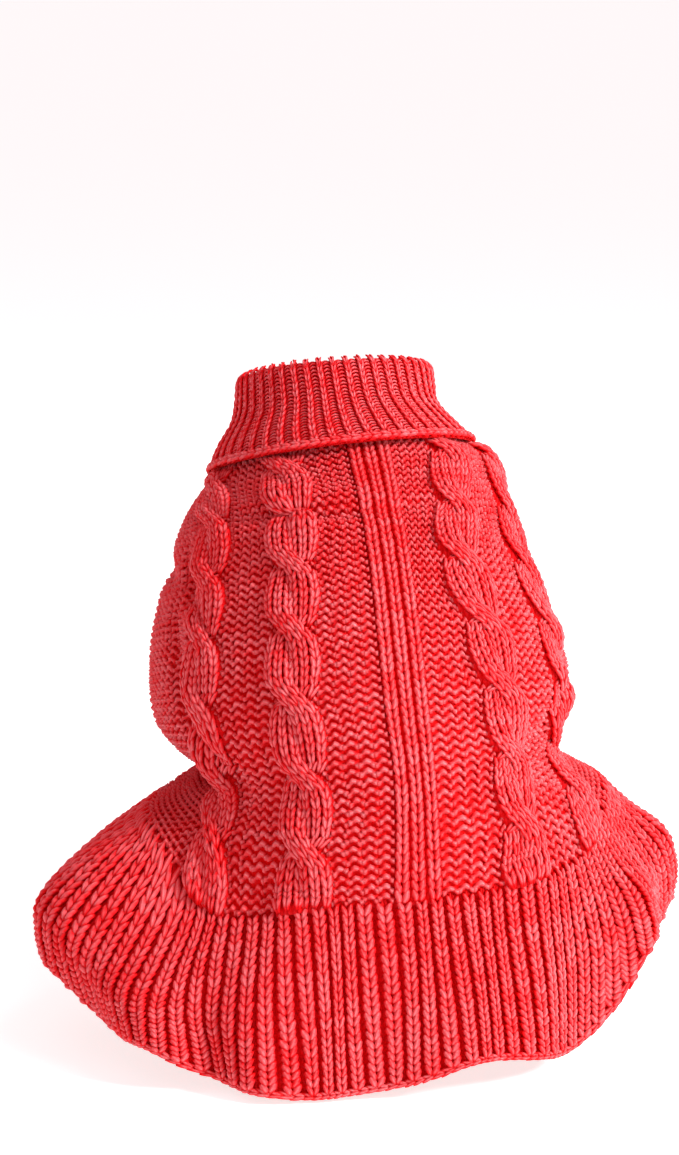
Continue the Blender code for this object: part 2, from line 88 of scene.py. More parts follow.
def grid(first: Array, second: Array) -> tuple[Array, Array]:
    """Two lists spread over the rows and the columns of a grid."""
    return tuple(np.meshgrid(np.asarray(first, float), np.asarray(second, float), indexing="ij"))


@dataclass(frozen=True)
class SectionTable:
    """Sections of a form, one row each, read smoothly between the rows."""

    names: tuple[str, ...]
    rows: tuple[tuple[float, ...], ...]

    def at(self, position: Array) -> dict[str, Array]:
        """Every column, read at a position counted in rows."""
        table = np.array(self.rows)
        return {name: through(table[:, k], position) for k, name in enumerate(self.names)}


# ---- Forms, in millimetres -----------------------------------------------------------------------

RING = (
    "middle_x", "back_y", "back_z", "side_x", "side_y", "side_z", "belly_y", "belly_z", "square", "ease",
    "roll", "sag",
)
BODY_GIRTHS = SectionTable(
    RING + ("seam_angle", "purl_gap", "right_purl_gap"),
    (
        (0, -40.5, 9, 37, 0, -1.5, 40, -12, 2, 0.5, 0.02, 0, 124, 14.5, 14.5),
        (-0.4, -61.5, -5.5, 58.8, -2, -23.5, 54, -36.5, 2, 0.5, 0.09, 0, 130, 16, 15.5),
        (-1, -84, -19.5, 66.5, -12, -40, 60, -60, 2, 0.5, 0.03, 0, 136, 17.5, 14.5),
        (-1.5, -105, -36, 74.5, -26, -61, 53, -84, 2, 0.5, 0.02, 0, 139, 19.5, 12),
        (-2, -125, -58, 80, -44, -80, 38, -102, 2, 0.5, 0.02, 0, 137, 21.5, 17.5),
        (-2, -143, -84, 80, -62, -102, 20, -115, 2, 0.5, 0.04, 0, 132, 23, 22),
        (-0.5, -156, -112, 67.5, -78, -120, 3, -122, 3.5, 0.8, 0.07, 2, 127, 24.5, 26),
        (-2, -167, -151, 88, -94, -131, -15, -130, 8, 1, 0.05, 8, 122, 21, 23.5),
    ),
)
# A crease: how far down the back it lies, its angle, its slant in degrees, its length, width and depth.
BODY_CREASES = (
    (67.0, -93.0, 20.0, 26.0, 6.0, 4.0),
    (46.0, 82.0, -25.0, 22.0, 6.0, 3.0),
    (106.0, 82.0, 30.0, 24.0, 7.0, 2.5),
    (166.0, -92.0, 8.0, 24.0, 7.0, 7.0),
    (162.0, 92.0, -8.0, 24.0, 8.0, 2.0),
)
# Shallow creases of the same kind, which only the dressed cloth has.
HAND_CREASES = (
    (53.0, -22.0, 4.0, 25.0, 4.4, 2.8),
    (43.0, -24.0, 4.0, 27.0, 7.0, -1.8),
    (61.0, -26.0, 4.0, 24.0, 6.0, -1.0),
    (52.0, 14.0, -14.0, 10.0, 3.0, 1.2),
    (84.0, -62.0, 60.0, 26.0, 5.0, 3.0),
    (120.0, -66.0, 80.0, 30.0, 5.0, 2.6),
    (150.0, -60.0, 70.0, 26.0, 5.5, 2.6),
    (88.0, 66.0, 42.0, 24.0, 5.0, 3.2),
    (118.0, 70.0, -20.0, 20.0, 5.0, 2.6),
    (140.0, 60.0, -60.0, 22.0, 5.0, 2.4),
    (205.0, -34.0, 8.0, 20.0, 4.0, 1.6),
    (203.0, 30.0, -8.0, 18.0, 4.0, 1.6),
)
SKIRT_RINGS = SectionTable(
    RING,
    (
        (-2.0, -167.5, -151.7, 88.4, -94.0, -131.6, -14.6, -130.6, 8.0, 1.0, 0.05, 8.0),
        (-8.5, -176.0, -167.0, 104.5, -97.0, -144.0, -8.0, -145.0, 6.0, 1.0, 0.06, 7.0),
        (-11.0, -184.0, -184.0, 117.5, -100.0, -157.0, -4.0, -160.0, 4.5, 1.0, 0.07, 5.0),
        (-10.0, -190.0, -200.0, 118.5, -103.0, -170.0, -3.0, -174.0, 3.7, 1.0, 0.07, 2.0),
        (-9.0, -195.0, -214.0, 116.0, -105.0, -181.0, -3.0, -187.0, 3.4, 1.0, 0.07, 0.0),
    ),
)
# A flute of the ruffle: its angle, its half width, how far it stands out and how far its hem lifts.
SKIRT_WAVES = (
    (-112.0, 11.0, -5.0, 0.0),
    (-93.0, 11.0, 5.0, 0.0),
    (-65.0, 10.0, -5.5, -4.0),
    (-47.0, 9.0, 4.0, 6.5),
    (-35.0, 6.0, -6.0, 0.0),
    (-26.0, 6.0, 4.0, 2.0),
    (-5.0, 9.0, -3.5, 0.5),
    (14.0, 11.0, 4.0, 8.5),
    (38.0, 9.0, -5.5, -6.0),
    (57.0, 7.5, 4.0, 12.5),
    (70.0, 7.0, -3.5, -2.0),
    (86.0, 9.0, 4.5, 7.0),
    (106.0, 10.0, -5.0, 0.0),
)
COLLAR_PATH = SectionTable(
    ("height", "across", "back", "aside", "roll"),
    (
        (0.8, 37.4, 40.8, 0.0, 0.0),
        (8.0, 35.8, 39.6, -1.4, 2.2),
        (15.0, 35.6, 39.2, -2.0, 2.1),
        (20.0, 36.1, 39.9, -2.0, 1.7),
        (21.7, 37.5, 41.6, -2.0, 1.5),
        (20.0, 39.2, 43.4, -2.0, 1.6),
        (13.0, 39.9, 44.6, -2.3, 2.2),
        (5.0, 41.5, 47.5, -2.6, 2.9),
        (-4.5, 48.2, 54.6, -2.2, 3.7),
        (-12.4, 53.6, 59.6, -0.6, 4.3),
    ),
)


def normals_of(surface: Callable, down: Array, angle: Array, step_down: float, step_angle: float) -> Array:
    """Unit vectors off a surface, turned to its outer side.

    Args:
        surface: The surface, as a function of down and angle.
        down: How far down each point is.
        angle: Each point's angle.
        step_down: How far apart to read the surface downwards.
        step_angle: How far apart to read it sideways.

    Returns:
        One vector for each point.
    """
    along = surface(down + step_down, angle) - surface(down - step_down, angle)
    across = surface(down, angle + step_angle) - surface(down, angle - step_angle)
    return unit(np.cross(along, across))


@dataclass(frozen=True)
class Form:
    """A ground that cloth and stitches lie on, read down its wales and at an angle round the body."""

    probe: ClassVar[tuple[float, float]] = (0.05, 0.8)

    def offset(self, down: Array, angle: Array, height: Array) -> Array:
        """A point raised off the ground.

        Args:
            down: How far down the wales each point is.
            angle: Each point's angle.
            height: How far it stands off the ground.

        Returns:
            The points, in millimetres.
        """
        out = normals_of(self.surface, down, angle, *self.probe)
        return self.surface(down, angle) + out * np.asarray(height, float)[..., None]

    def raised(self, height: float) -> Callable:
        """A surface that lies at a height over this one."""
        return lambda down, angle: self.offset(down, angle, np.full(np.shape(down), height))

    def rim(self, height: float) -> Callable:
        """The same surface, walked along its edge: the angle comes first."""
        return lambda angle, down: self.offset(down, angle, np.full(np.shape(down), height))


@dataclass(frozen=True)
class Ringed(Form):
    """What the body and the skirt share: girths that droop, roll and sag."""

    sag_angle: float = -49.0
    sag_spread: float = 18.0

    def ring_point(self, ring: dict[str, Array], angle: Array) -> Array:
        """A point of a girth: angle 0 is the middle of the back, 180 the middle of the belly."""
        turn = np.radians(angle)
        sine, cosine = np.sin(turn), np.cos(turn)
        behind = cosine > 0
        reach_y = np.where(behind, ring["back_y"] - ring["side_y"], ring["side_y"] - ring["belly_y"])
        reach_z = np.where(behind, ring["back_z"] - ring["side_z"], ring["belly_z"] - ring["side_z"])
        fall = np.clip(1.0 - np.abs(sine) ** ring["square"], 0.0, 1.0) ** ring["ease"]
        sag = ring["sag"] * np.exp(-(((angle - self.sag_angle) / self.sag_spread) ** 2))
        across = ring["side_x"] * sine
        height = ring["side_z"] + reach_z * fall + ring["roll"] * across - sag
        return np.stack([ring["middle_x"] + across, ring["side_y"] + reach_y * cosine, height], axis=-1)


@dataclass(frozen=True)
class BodyForm(Ringed):
    """The body's outer ground, its creases and its armholes."""

    probe: ClassVar[tuple[float, float]] = (0.8, 0.8)
    seam_gap: float = 0.42
    armhole_at: float = 98.0
    armhole_half_length: float = 30.0
    armhole_into_back: float = 10.0
    armhole_into_belly: float = 26.0
    armhole_power: float = 0.75
    belly_arch: float = 26.0
    length_steps: int = 281

    def lengths(self) -> tuple[Array, Array]:
        """Positions among the girths, and how far down the back each lies."""
        position = np.linspace(0.0, len(BODY_GIRTHS.rows) - 1.0, self.length_steps)
        ring = BODY_GIRTHS.at(position)
        steps = np.hypot(np.diff(ring["back_y"]), np.diff(ring["back_z"]))
        return position, np.concatenate([[0.0], np.cumsum(steps)])

    @property
    def length(self) -> float:
        """The length of the back, from the neck seam to the skirt seam."""
        return float(self.lengths()[1][-1])

    def ring(self, down: Array) -> dict[str, Array]:
        """The girth at a distance down the back, carried on a little past both ends."""
        position, lengths = self.lengths()
        stretch = lengths[-1] / (len(BODY_GIRTHS.rows) - 1)
        past = (np.minimum(down, 0.0) + np.maximum(down - lengths[-1], 0.0)) / stretch
        return BODY_GIRTHS.at(np.interp(down, lengths, position) + past)

    def radius(self, down: Array) -> Array:
        """The mean radius of the girth."""
        ring = self.ring(down)
        depth = 0.5 * np.hypot(ring["back_y"] - ring["belly_y"], ring["back_z"] - ring["belly_z"])
        return 0.5 * (ring["side_x"] + depth)

    def crease_depth(self, down: Array, angle: Array) -> Array:
        """How far the soft creases press the cloth in."""
        pressed = np.zeros(np.broadcast(down, angle).shape)
        radius = self.radius(down)
        for at_down, at_angle, slant, length, width, depth in (*BODY_CREASES, *HAND_CREASES):
            away = np.radians(angle - at_angle) * radius
            below = down - at_down
            lean = math.radians(slant)
            along = away * math.cos(lean) + below * math.sin(lean)
            across = below * math.cos(lean) - away * math.sin(lean)
            pressed = pressed + depth * np.exp(-((along / length) ** 2) - (across / width) ** 2)
        return pressed

    def bare(self, down: Array, angle: Array) -> Array:
        """The ground before it is creased."""
        return self.ring_point(self.ring(down), angle)

    def surface(self, down: Array, angle: Array) -> Array:
        """The ground with its creases."""
        out = normals_of(self.bare, down, angle, 0.5, 0.5)
        return self.bare(down, angle) - out * self.crease_depth(down, angle)[..., None]

    def armhole_share(self, down: Array) -> Array:
        """1 at the middle of the armhole, 0 past its ends."""
        inside = np.clip(1.0 - ((down - self.armhole_at) / self.armhole_half_length) ** 2, 0.0, 1.0)
        return inside**self.armhole_power

    def half_gap(self, down: Array) -> Array:
        """Half of the side seam's gap, as an angle."""
        return np.degrees(0.5 * self.seam_gap / self.radius(down))

    def back_edge(self, down: Array) -> Array:
        """The angle of the back panel's side edge."""
        seam = self.ring(down)["seam_angle"]
        return seam - self.half_gap(down) - self.armhole_into_back * self.armhole_share(down)

    def belly_edge(self, down: Array) -> Array:
        """The angle of the belly panel's side edge."""
        seam = self.ring(down)["seam_angle"]
        return seam + self.half_gap(down) + self.armhole_into_belly * self.armhole_share(down)


@dataclass(frozen=True)
class BackKnitting:
    """How the back's wales divide into rib, purl and cables, counted out from its centre line."""

    body: BodyForm
    rib_wales: int = 3
    purl_wales: int = 4
    cable_wales: int = 6
    side_wales: int = 18
    rib_width: float = 17.2
    cable_width: float = 20.4
    cable_repeat: float = 28.0
    cable_start: float = 9.0
    over_crossing: float = 0.55
    under_crossing: float = 0.22
    cable_height: float = 3.4
    cable_over: float = 1.3
    cable_pull: float = 1.1
    strand_reach: float = 0.225
    strand_half: float = 0.335
    lane: float = 0.178
    rib_height: float = 1.2
    turn: float = 2.0
    relief_starts: float = 9.0
    relief_full: float = 24.0

    @property
    def ends(self) -> Array:
        """The wale count at which each stretch of the pattern ends."""
        counts = (0.5 * self.rib_wales, self.purl_wales, self.cable_wales, self.purl_wales, self.cable_wales)
        return np.cumsum([*counts, self.side_wales])

    def cable_turn(self, down: Array) -> Array:
        """How far through its repeat a cable is; its strands cross at a half."""
        turn = (down - self.cable_start) / self.cable_repeat
        return turn - np.floor(turn)

    def angle(self, down: Array, wale: Array) -> Array:
        """The angle of a wale at a distance down the back."""
        down, wale = np.broadcast_arrays(np.asarray(down, float), np.asarray(wale, float))
        side = np.where(wale < 0, -1.0, 1.0)
        pull = -self.cable_pull * np.cos(2.0 * np.pi * self.cable_turn(down))
        ring = self.body.ring(down)
        gap = ring["purl_gap"]
        near_gap = np.where(side < 0, gap, ring["right_purl_gap"])
        cable = self.cable_width - 2.0 * pull
        half_rib = np.full_like(pull, 0.5 * self.rib_width)
        widths = (half_rib, near_gap + pull, cable, gap + 2.0 * pull, cable)
        edges = [*np.degrees(np.cumsum(widths, axis=0) / self.body.radius(down))]
        edges.append(self.body.back_edge(down) - side * self.turn)
        counted = np.abs(wale)
        angle = np.zeros_like(down)
        first, start = 0.0, np.zeros_like(down)
        for end, last in zip(edges, self.ends):
            share = np.clip((counted - first) / (last - first), 0.0, 1.0)
            angle = np.where(counted >= first, start + (end - start) * share, angle)
            first, start = last, end
        return side * angle + self.turn

    def fade(self, down: Array) -> Array:
        """How much of its full height the knitting has: it starts flat under the collar."""
        return smooth_step((down - self.relief_starts) / (self.relief_full - self.relief_starts))

    def strand(self, down: Array, side: float, repeat: Array | None = None) -> tuple[Array, Array]:
        """A cable strand's middle, as a share of the cable, and its crest's height.

        Args:
            down: How far down the back.
            side: -1 for the strand that starts on the left and passes over, 1 for the other.
            repeat: The repeat that the strand belongs to, where it isn't the one at down.

        Returns:
            The middle's share across the cable from the left, and the height of the crest.
        """
        turn = self.cable_turn(down)
        if repeat is not None:
            turn = (down - self.cable_start) / self.cable_repeat - repeat
        crossing = self.over_crossing if side < 0 else self.under_crossing
        passed = smooth_step((turn - 0.5) / crossing + 0.5)
        centre = 0.5 + side * self.strand_reach * (1.0 - 2.0 * passed)
        crest = self.cable_height - side * self.cable_over * np.sin(np.pi * np.clip(turn, 0.0, 1.0))
        return centre, crest

    def cable_relief(self, down: Array, across: Array) -> Array:
        """The height of a two-strand cable."""
        height = np.zeros_like(across)
        for side in (-1.0, 1.0):
            centre, crest = self.strand(down, side)
            dome = np.sqrt(np.clip(1.0 - ((across - centre) / self.strand_half) ** 2, 0.0, 1.0))
            height = np.maximum(height, crest * dome)
        return height

    def relief(self, down: Array, wale: Array) -> Array:
        """How far the knitting stands off the purl ground."""
        counted = np.abs(wale)
        ends = self.ends
        height = np.where(counted < ends[0], self.rib_height, 0.0)
        for start in (ends[1], ends[3]):
            across = (counted - start) / self.cable_wales
            across = np.where(wale < 0, 1.0 - across, across)
            height = np.where((across > 0) & (across < 1), self.cable_relief(down, across), height)
        return height * self.fade(down)

    def point(self, down: Array, wale: Array, height: Array) -> Array:
        """A point at a wale, raised off the ground."""
        return self.body.offset(down, self.angle(down, wale), height)


@dataclass(frozen=True)
class SkirtForm(Ringed):
    """The ruffle's outer ground; down runs from 0 at the seam to 1 at the hem."""

    probe: ClassVar[tuple[float, float]] = (0.01, 0.8)
    half_angle: float = 122.0
    ribs: int = 60
    wander: float = 0.55

    def rib_angle(self, down: Array, angle: Array) -> Array:
        """Where a rib that leaves the seam at an angle has got to: the middle ones hang straight down."""
        seam = SKIRT_RINGS.at(np.zeros_like(down))
        ring = SKIRT_RINGS.at(down * (len(SKIRT_RINGS.rows) - 1))
        behind = np.clip(angle, -90.0, 90.0)
        across = seam["middle_x"] + seam["side_x"] * np.sin(np.radians(behind)) - ring["middle_x"]
        straight = np.degrees(np.arcsin(np.clip(across / ring["side_x"], -1.0, 1.0))) + angle - behind
        middle = np.clip(1.0 - (angle / self.half_angle) ** 2, 0.0, 1.0) ** 2
        turn = np.radians(angle)
        drawn = np.sin(11.0 * turn + 0.7) + 0.7 * np.sin(19.0 * turn + 2.0 * down + 2.1)
        return angle + (straight - angle) * middle + self.wander * drawn * middle

    def surface(self, down: Array, angle: Array) -> Array:
        """The ground with its flutes."""
        ring = SKIRT_RINGS.at(down * (len(SKIRT_RINGS.rows) - 1))
        turn = np.radians(angle)
        growth = smooth_step(down)
        depth = np.zeros(np.broadcast(down, angle).shape)
        lift = np.zeros_like(depth)
        for at_angle, half_width, out, up in SKIRT_WAVES:
            near = np.exp(-(((angle - at_angle) / half_width) ** 2)) * growth
            depth = depth + out * near
            lift = lift + up * near
        flute = np.stack([depth * np.sin(turn), -depth * np.cos(turn), lift], axis=-1)
        return self.ring_point(ring, angle) + flute

    def offset(self, down: Array, angle: Array, height: Array) -> Array:
        """A point raised off the ground, at the angle at which its rib leaves the seam."""
        return super().offset(down, self.rib_angle(down, angle), height)


@dataclass(frozen=True)
class CollarForm(Form):
    """The turtleneck's outer face as one strip: up inside the neck, over the fold and down to the edge."""

    tilt: float = 15.0
    ribs: int = 46
    twist: float = 7.0
    twist_ease: float = 0.7

    def surface(self, along: Array, angle: Array) -> Array:
        """A point of the strip: along counts its path's rows, angle goes round the neck."""
        row = COLLAR_PATH.at(along)
        heights = np.array(COLLAR_PATH.rows)[:, 0]
        lowered = np.clip((heights.max() - row["height"]) / np.ptp(heights), 0.0, 1.0)
        turn = np.radians(angle + self.twist * lowered**self.twist_ease)
        lean = math.radians(self.tilt)
        across = row["across"] * np.sin(turn)
        outward = row["back"] * np.cos(turn)
        up = row["height"] + across * np.tan(np.radians(row["roll"]))
        y = -outward * math.cos(lean) + up * math.sin(lean)
        z = outward * math.sin(lean) + up * math.cos(lean)
        return np.stack([row["aside"] + across, y, z], axis=-1)


@dataclass(frozen=True)
class CuffForm(Form):
    """One cuff: along runs from 0 at the armhole to 1 at its round end."""

    probe: ClassVar[tuple[float, float]] = (0.05, 2.0)
    body: BodyForm
    side: float
    length: float = 27.0
    radius: float = 21.0
    bulge: float = 3.0
    inset: float = 0.7
    rise: float = 0.2
    ribs: int = 20
    loop_reach: float = 0.999
    loop_points: int = 240
    aim: Point = (0.02, 0.60, -0.80)

    def loop(self) -> Array:
        """Points once round the armhole: down the back panel's edge, then up the belly panel's."""
        half = self.loop_points // 2
        swing = self.loop_reach * self.body.armhole_half_length * np.cos(np.pi * np.arange(half) / half)
        down = np.concatenate([self.body.armhole_at - swing, self.body.armhole_at + swing])
        angle = np.concatenate([self.body.back_edge(down[:half]), self.body.belly_edge(down[half:])])
        return self.body.offset(down, self.side * angle, np.full(self.loop_points, self.rise))

    def surface(self, along: Array, angle: Array) -> Array:
        """A point of the cuff's outer ground; angle goes once round it in degrees."""
        loop = self.loop()
        aim = unit(np.array([self.side * self.aim[0], self.aim[1], self.aim[2]]))
        middle = loop.mean(axis=0)
        away = loop - middle
        flat = unit(away - (away @ aim)[:, None] * aim)
        start = loop - unit(away) * self.inset
        end = middle + aim * self.length + flat * self.radius
        place = (-self.side * np.asarray(angle, float) / 360.0 % 1.0) * self.loop_points
        number = np.floor(place).astype(int)
        part = (place - number)[..., None]
        now, after = number % self.loop_points, (number + 1) % self.loop_points
        first, last, out = (line[now] * (1 - part) + line[after] * part for line in (start, end, flat))
        along = np.asarray(along, float)[..., None]
        return first * (1 - along) + last * along + out * self.bulge * np.sin(np.pi * along)


# ---- Yarn ----------------------------------------------------------------------------------------


@dataclass
class Skin:
    """A mesh in the making: points, faces, and what each point carries."""

    points: Array
    faces: list[tuple[int, ...]]
    carried: dict[str, Array]

    def join(self, other: "Skin") -> "Skin":
        """Both meshes as one."""
        shift = len(self.points)
        moved = [tuple(k + shift for k in face) for face in other.faces]
        carried = {name: np.concatenate([self.carried[name], other.carried[name]]) for name in self.carried}
        return Skin(np.concatenate([self.points, other.points]), self.faces + moved, carried)

    def to_mesh(self, name: str) -> bpy.types.Mesh:
        """The smooth-shaded mesh of that name, with one attribute for each thing carried."""
        mesh = bpy.data.meshes.new(name)
        mesh.from_pydata((self.points * MM).tolist(), [], self.faces)
        for label, values in self.carried.items():
            flat = values.ndim == 1
            kind, slot = ("FLOAT", "value") if flat else ("FLOAT_VECTOR", "vector")
            attribute = mesh.attributes.new(label, kind, "POINT")
            attribute.data.foreach_set(slot, np.ascontiguousarray(values, np.float32).ravel())
        mesh.shade_smooth()
        return mesh


def strand_skin(line: Array, radii: Array, sides: int) -> Skin:
    """A closed length of yarn round a line.

    Args:
        line: Points along its middle, in millimetres.
        radii: Its radius at each point.
        sides: How many faces go round it.

    Returns:
        The yarn, carrying where along and round it each point is, and how high it crests.
    """
    ahead = unit(np.gradient(line, axis=0))
    out = np.array([0.0, 0.0, 1.0]) - ahead * ahead[:, 2:3]
    out = unit(out)
    aside = np.cross(ahead, out)
    turn = 2 * np.pi * np.arange(sides) / sides + np.pi / 2
    rings = out[:, None] * np.sin(turn)[None, :, None] + aside[:, None] * np.cos(turn)[None, :, None]
    points = line[:, None] + rings * radii[:, None, None]
    walked = np.concatenate([[0.0], np.cumsum(np.linalg.norm(np.diff(line, axis=0), axis=1))])
    yarn = np.stack(
        [
            np.broadcast_to(walked[:, None], (len(line), sides)),
            np.broadcast_to(np.cos(turn), (len(line), sides)),
            np.broadcast_to(np.sin(turn), (len(line), sides)),
        ],
        axis=-1,
    )
    faces = []
    for row in range(len(line) - 1):
        for k in range(sides):
            after = (k + 1) % sides
            near, far = row * sides, (row + 1) * sides
            faces.append((near + k, near + after, far + after, far + k))
    faces.append(tuple(reversed(range(sides))))
    faces.append(tuple((len(line) - 1) * sides + k for k in range(sides)))
    points = points.reshape(-1, 3)
    # How high each point lies in the stitch; the yarn's material paints shade low down and a highlight high up
    # from it.
    low, high = points[:, 2].min(), points[:, 2].max()
    return Skin(points, faces, {"yarn": yarn.reshape(-1, 3), "crest": (points[:, 2] - low) / (high - low)})


class StitchKind(Enum):
    """The yarn shapes that the sweater is knitted from."""

    KNIT = "knit"
    PURL = "purl"
    RUNG = "rung"


@dataclass(frozen=True)
class Stitch:
    """One stitch of yarn, lying on XY with its wale along Y and its face towards Z."""

    kind: StitchKind
    width: float
    row: float
    yarn: float
    lean: float = 1.0
    shade: float = 1.0
    sides: int = 5
    rings: int = 9

    def knit_skin(self) -> Skin:
        """The V of a knit stitch: two plump arms that tuck under their neighbours."""
        across = (0.235 + self.lean * np.array([-0.18, -0.11, -0.02, 0.075, 0.145])) * self.width
        along = np.array([-0.84, -0.44, 0.0, 0.42, 0.78]) * self.row
        height = np.array([-0.70, 0.10, 0.42, 0.10, -0.75]) * self.yarn
        radii = np.array([0.48, 0.86, 1.0, 0.84, 0.46]) * self.yarn
        right = strand_skin(np.stack([across, along, height], axis=-1), radii, self.sides)
        left = strand_skin(np.stack([-across, along, height], axis=-1), radii, self.sides)
        return right.join(left)

    def purl_skin(self) -> Skin:
        """One wave of a purl course: a bump between two dips that meet the next stitches."""
        share = np.linspace(-0.53, 0.53, self.rings)
        across = share * self.width
        along = 0.24 * self.row * np.cos(2 * np.pi * share)
        height = self.yarn * (0.12 + 0.42 * np.cos(4 * np.pi * share))
        radii = self.yarn * (0.90 + 0.12 * np.cos(4 * np.pi * share))
        return strand_skin(np.stack([across, along, height], axis=-1), radii, self.sides)

    def rung_skin(self) -> Skin:
        """A purl bar stretched between two ribs."""
        share = np.array([-0.5, -0.25, 0.0, 0.25, 0.5])
        across = share * self.width
        along = self.row * np.array([-0.55, 0.02, 0.22, 0.02, -0.55])
        height = self.yarn * np.array([-0.9, -0.1, 0.15, -0.1, -0.9])
        radii = self.yarn * np.array([0.7, 1.0, 1.0, 1.0, 0.7])
        return strand_skin(np.stack([across, along, height], axis=-1), radii, self.sides - 1)

    def skin(self) -> Skin:
        """The stitch's mesh; a shade under 1 takes most of the painted shade off its sides, so they are
        coloured nearly like its crest.
        """
        makers = {
            StitchKind.KNIT: self.knit_skin,
            StitchKind.PURL: self.purl_skin,
            StitchKind.RUNG: self.rung_skin,
        }
        made = makers[self.kind]()
        made.carried["crest"] = made.carried["crest"] ** self.shade
        return made


@dataclass
class Places:
    """Where stitches go: their middles, the way up their wale, the way across, and their sizes."""

    middle: Array
    up: Array
    across: Array
    size: Array

    @staticmethod
    def on(
        surface: Callable, down: Array, side: Array, row: float | Array, wale: float, stitch: Stitch
    ) -> "Places":
        """Reads places off a surface whose first coordinate runs down the wales.

        Args:
            surface: Gives points for down and sideways coordinates.
            down: The stitches' down coordinates.
            side: Their sideways coordinates.
            row: One row, in the down coordinate; one number, or one for each place.
            wale: One wale, in the sideways coordinate.
            stitch: The stitch that the sizes are measured against.

        Returns:
            The places, flattened to a list.
        """
        up = surface(down - 0.5 * row, side) - surface(down + 0.5 * row, side)
        across = surface(down, side + 0.5 * wale) - surface(down, side - 0.5 * wale)
        wide = np.linalg.norm(across, axis=-1) / stitch.width
        tall = np.linalg.norm(up, axis=-1) / stitch.row
        size = np.stack([wide, tall, np.sqrt(np.minimum(wide, 1.0))], axis=-1)
        lists = (surface(down, side), up, across, size)
        return Places(*(values.reshape(-1, 3) for values in lists))

    @staticmethod
    def joined(parts: "list[Places]") -> "Places":
        """Several lists of places as one."""
        lists = zip(*((part.middle, part.up, part.across, part.size) for part in parts))
        return Places(*(np.concatenate(same) for same in lists))

    def facings(self) -> Array:
        """Each stitch's rotation as a quaternion, w first."""
        forward = unit(self.up)
        out = unit(np.cross(self.across, forward))
        right = np.cross(forward, out)
        turns = np.stack([right, forward, out], axis=-1)
        return np.array([Matrix(turn.tolist()).to_quaternion()[:] for turn in turns])


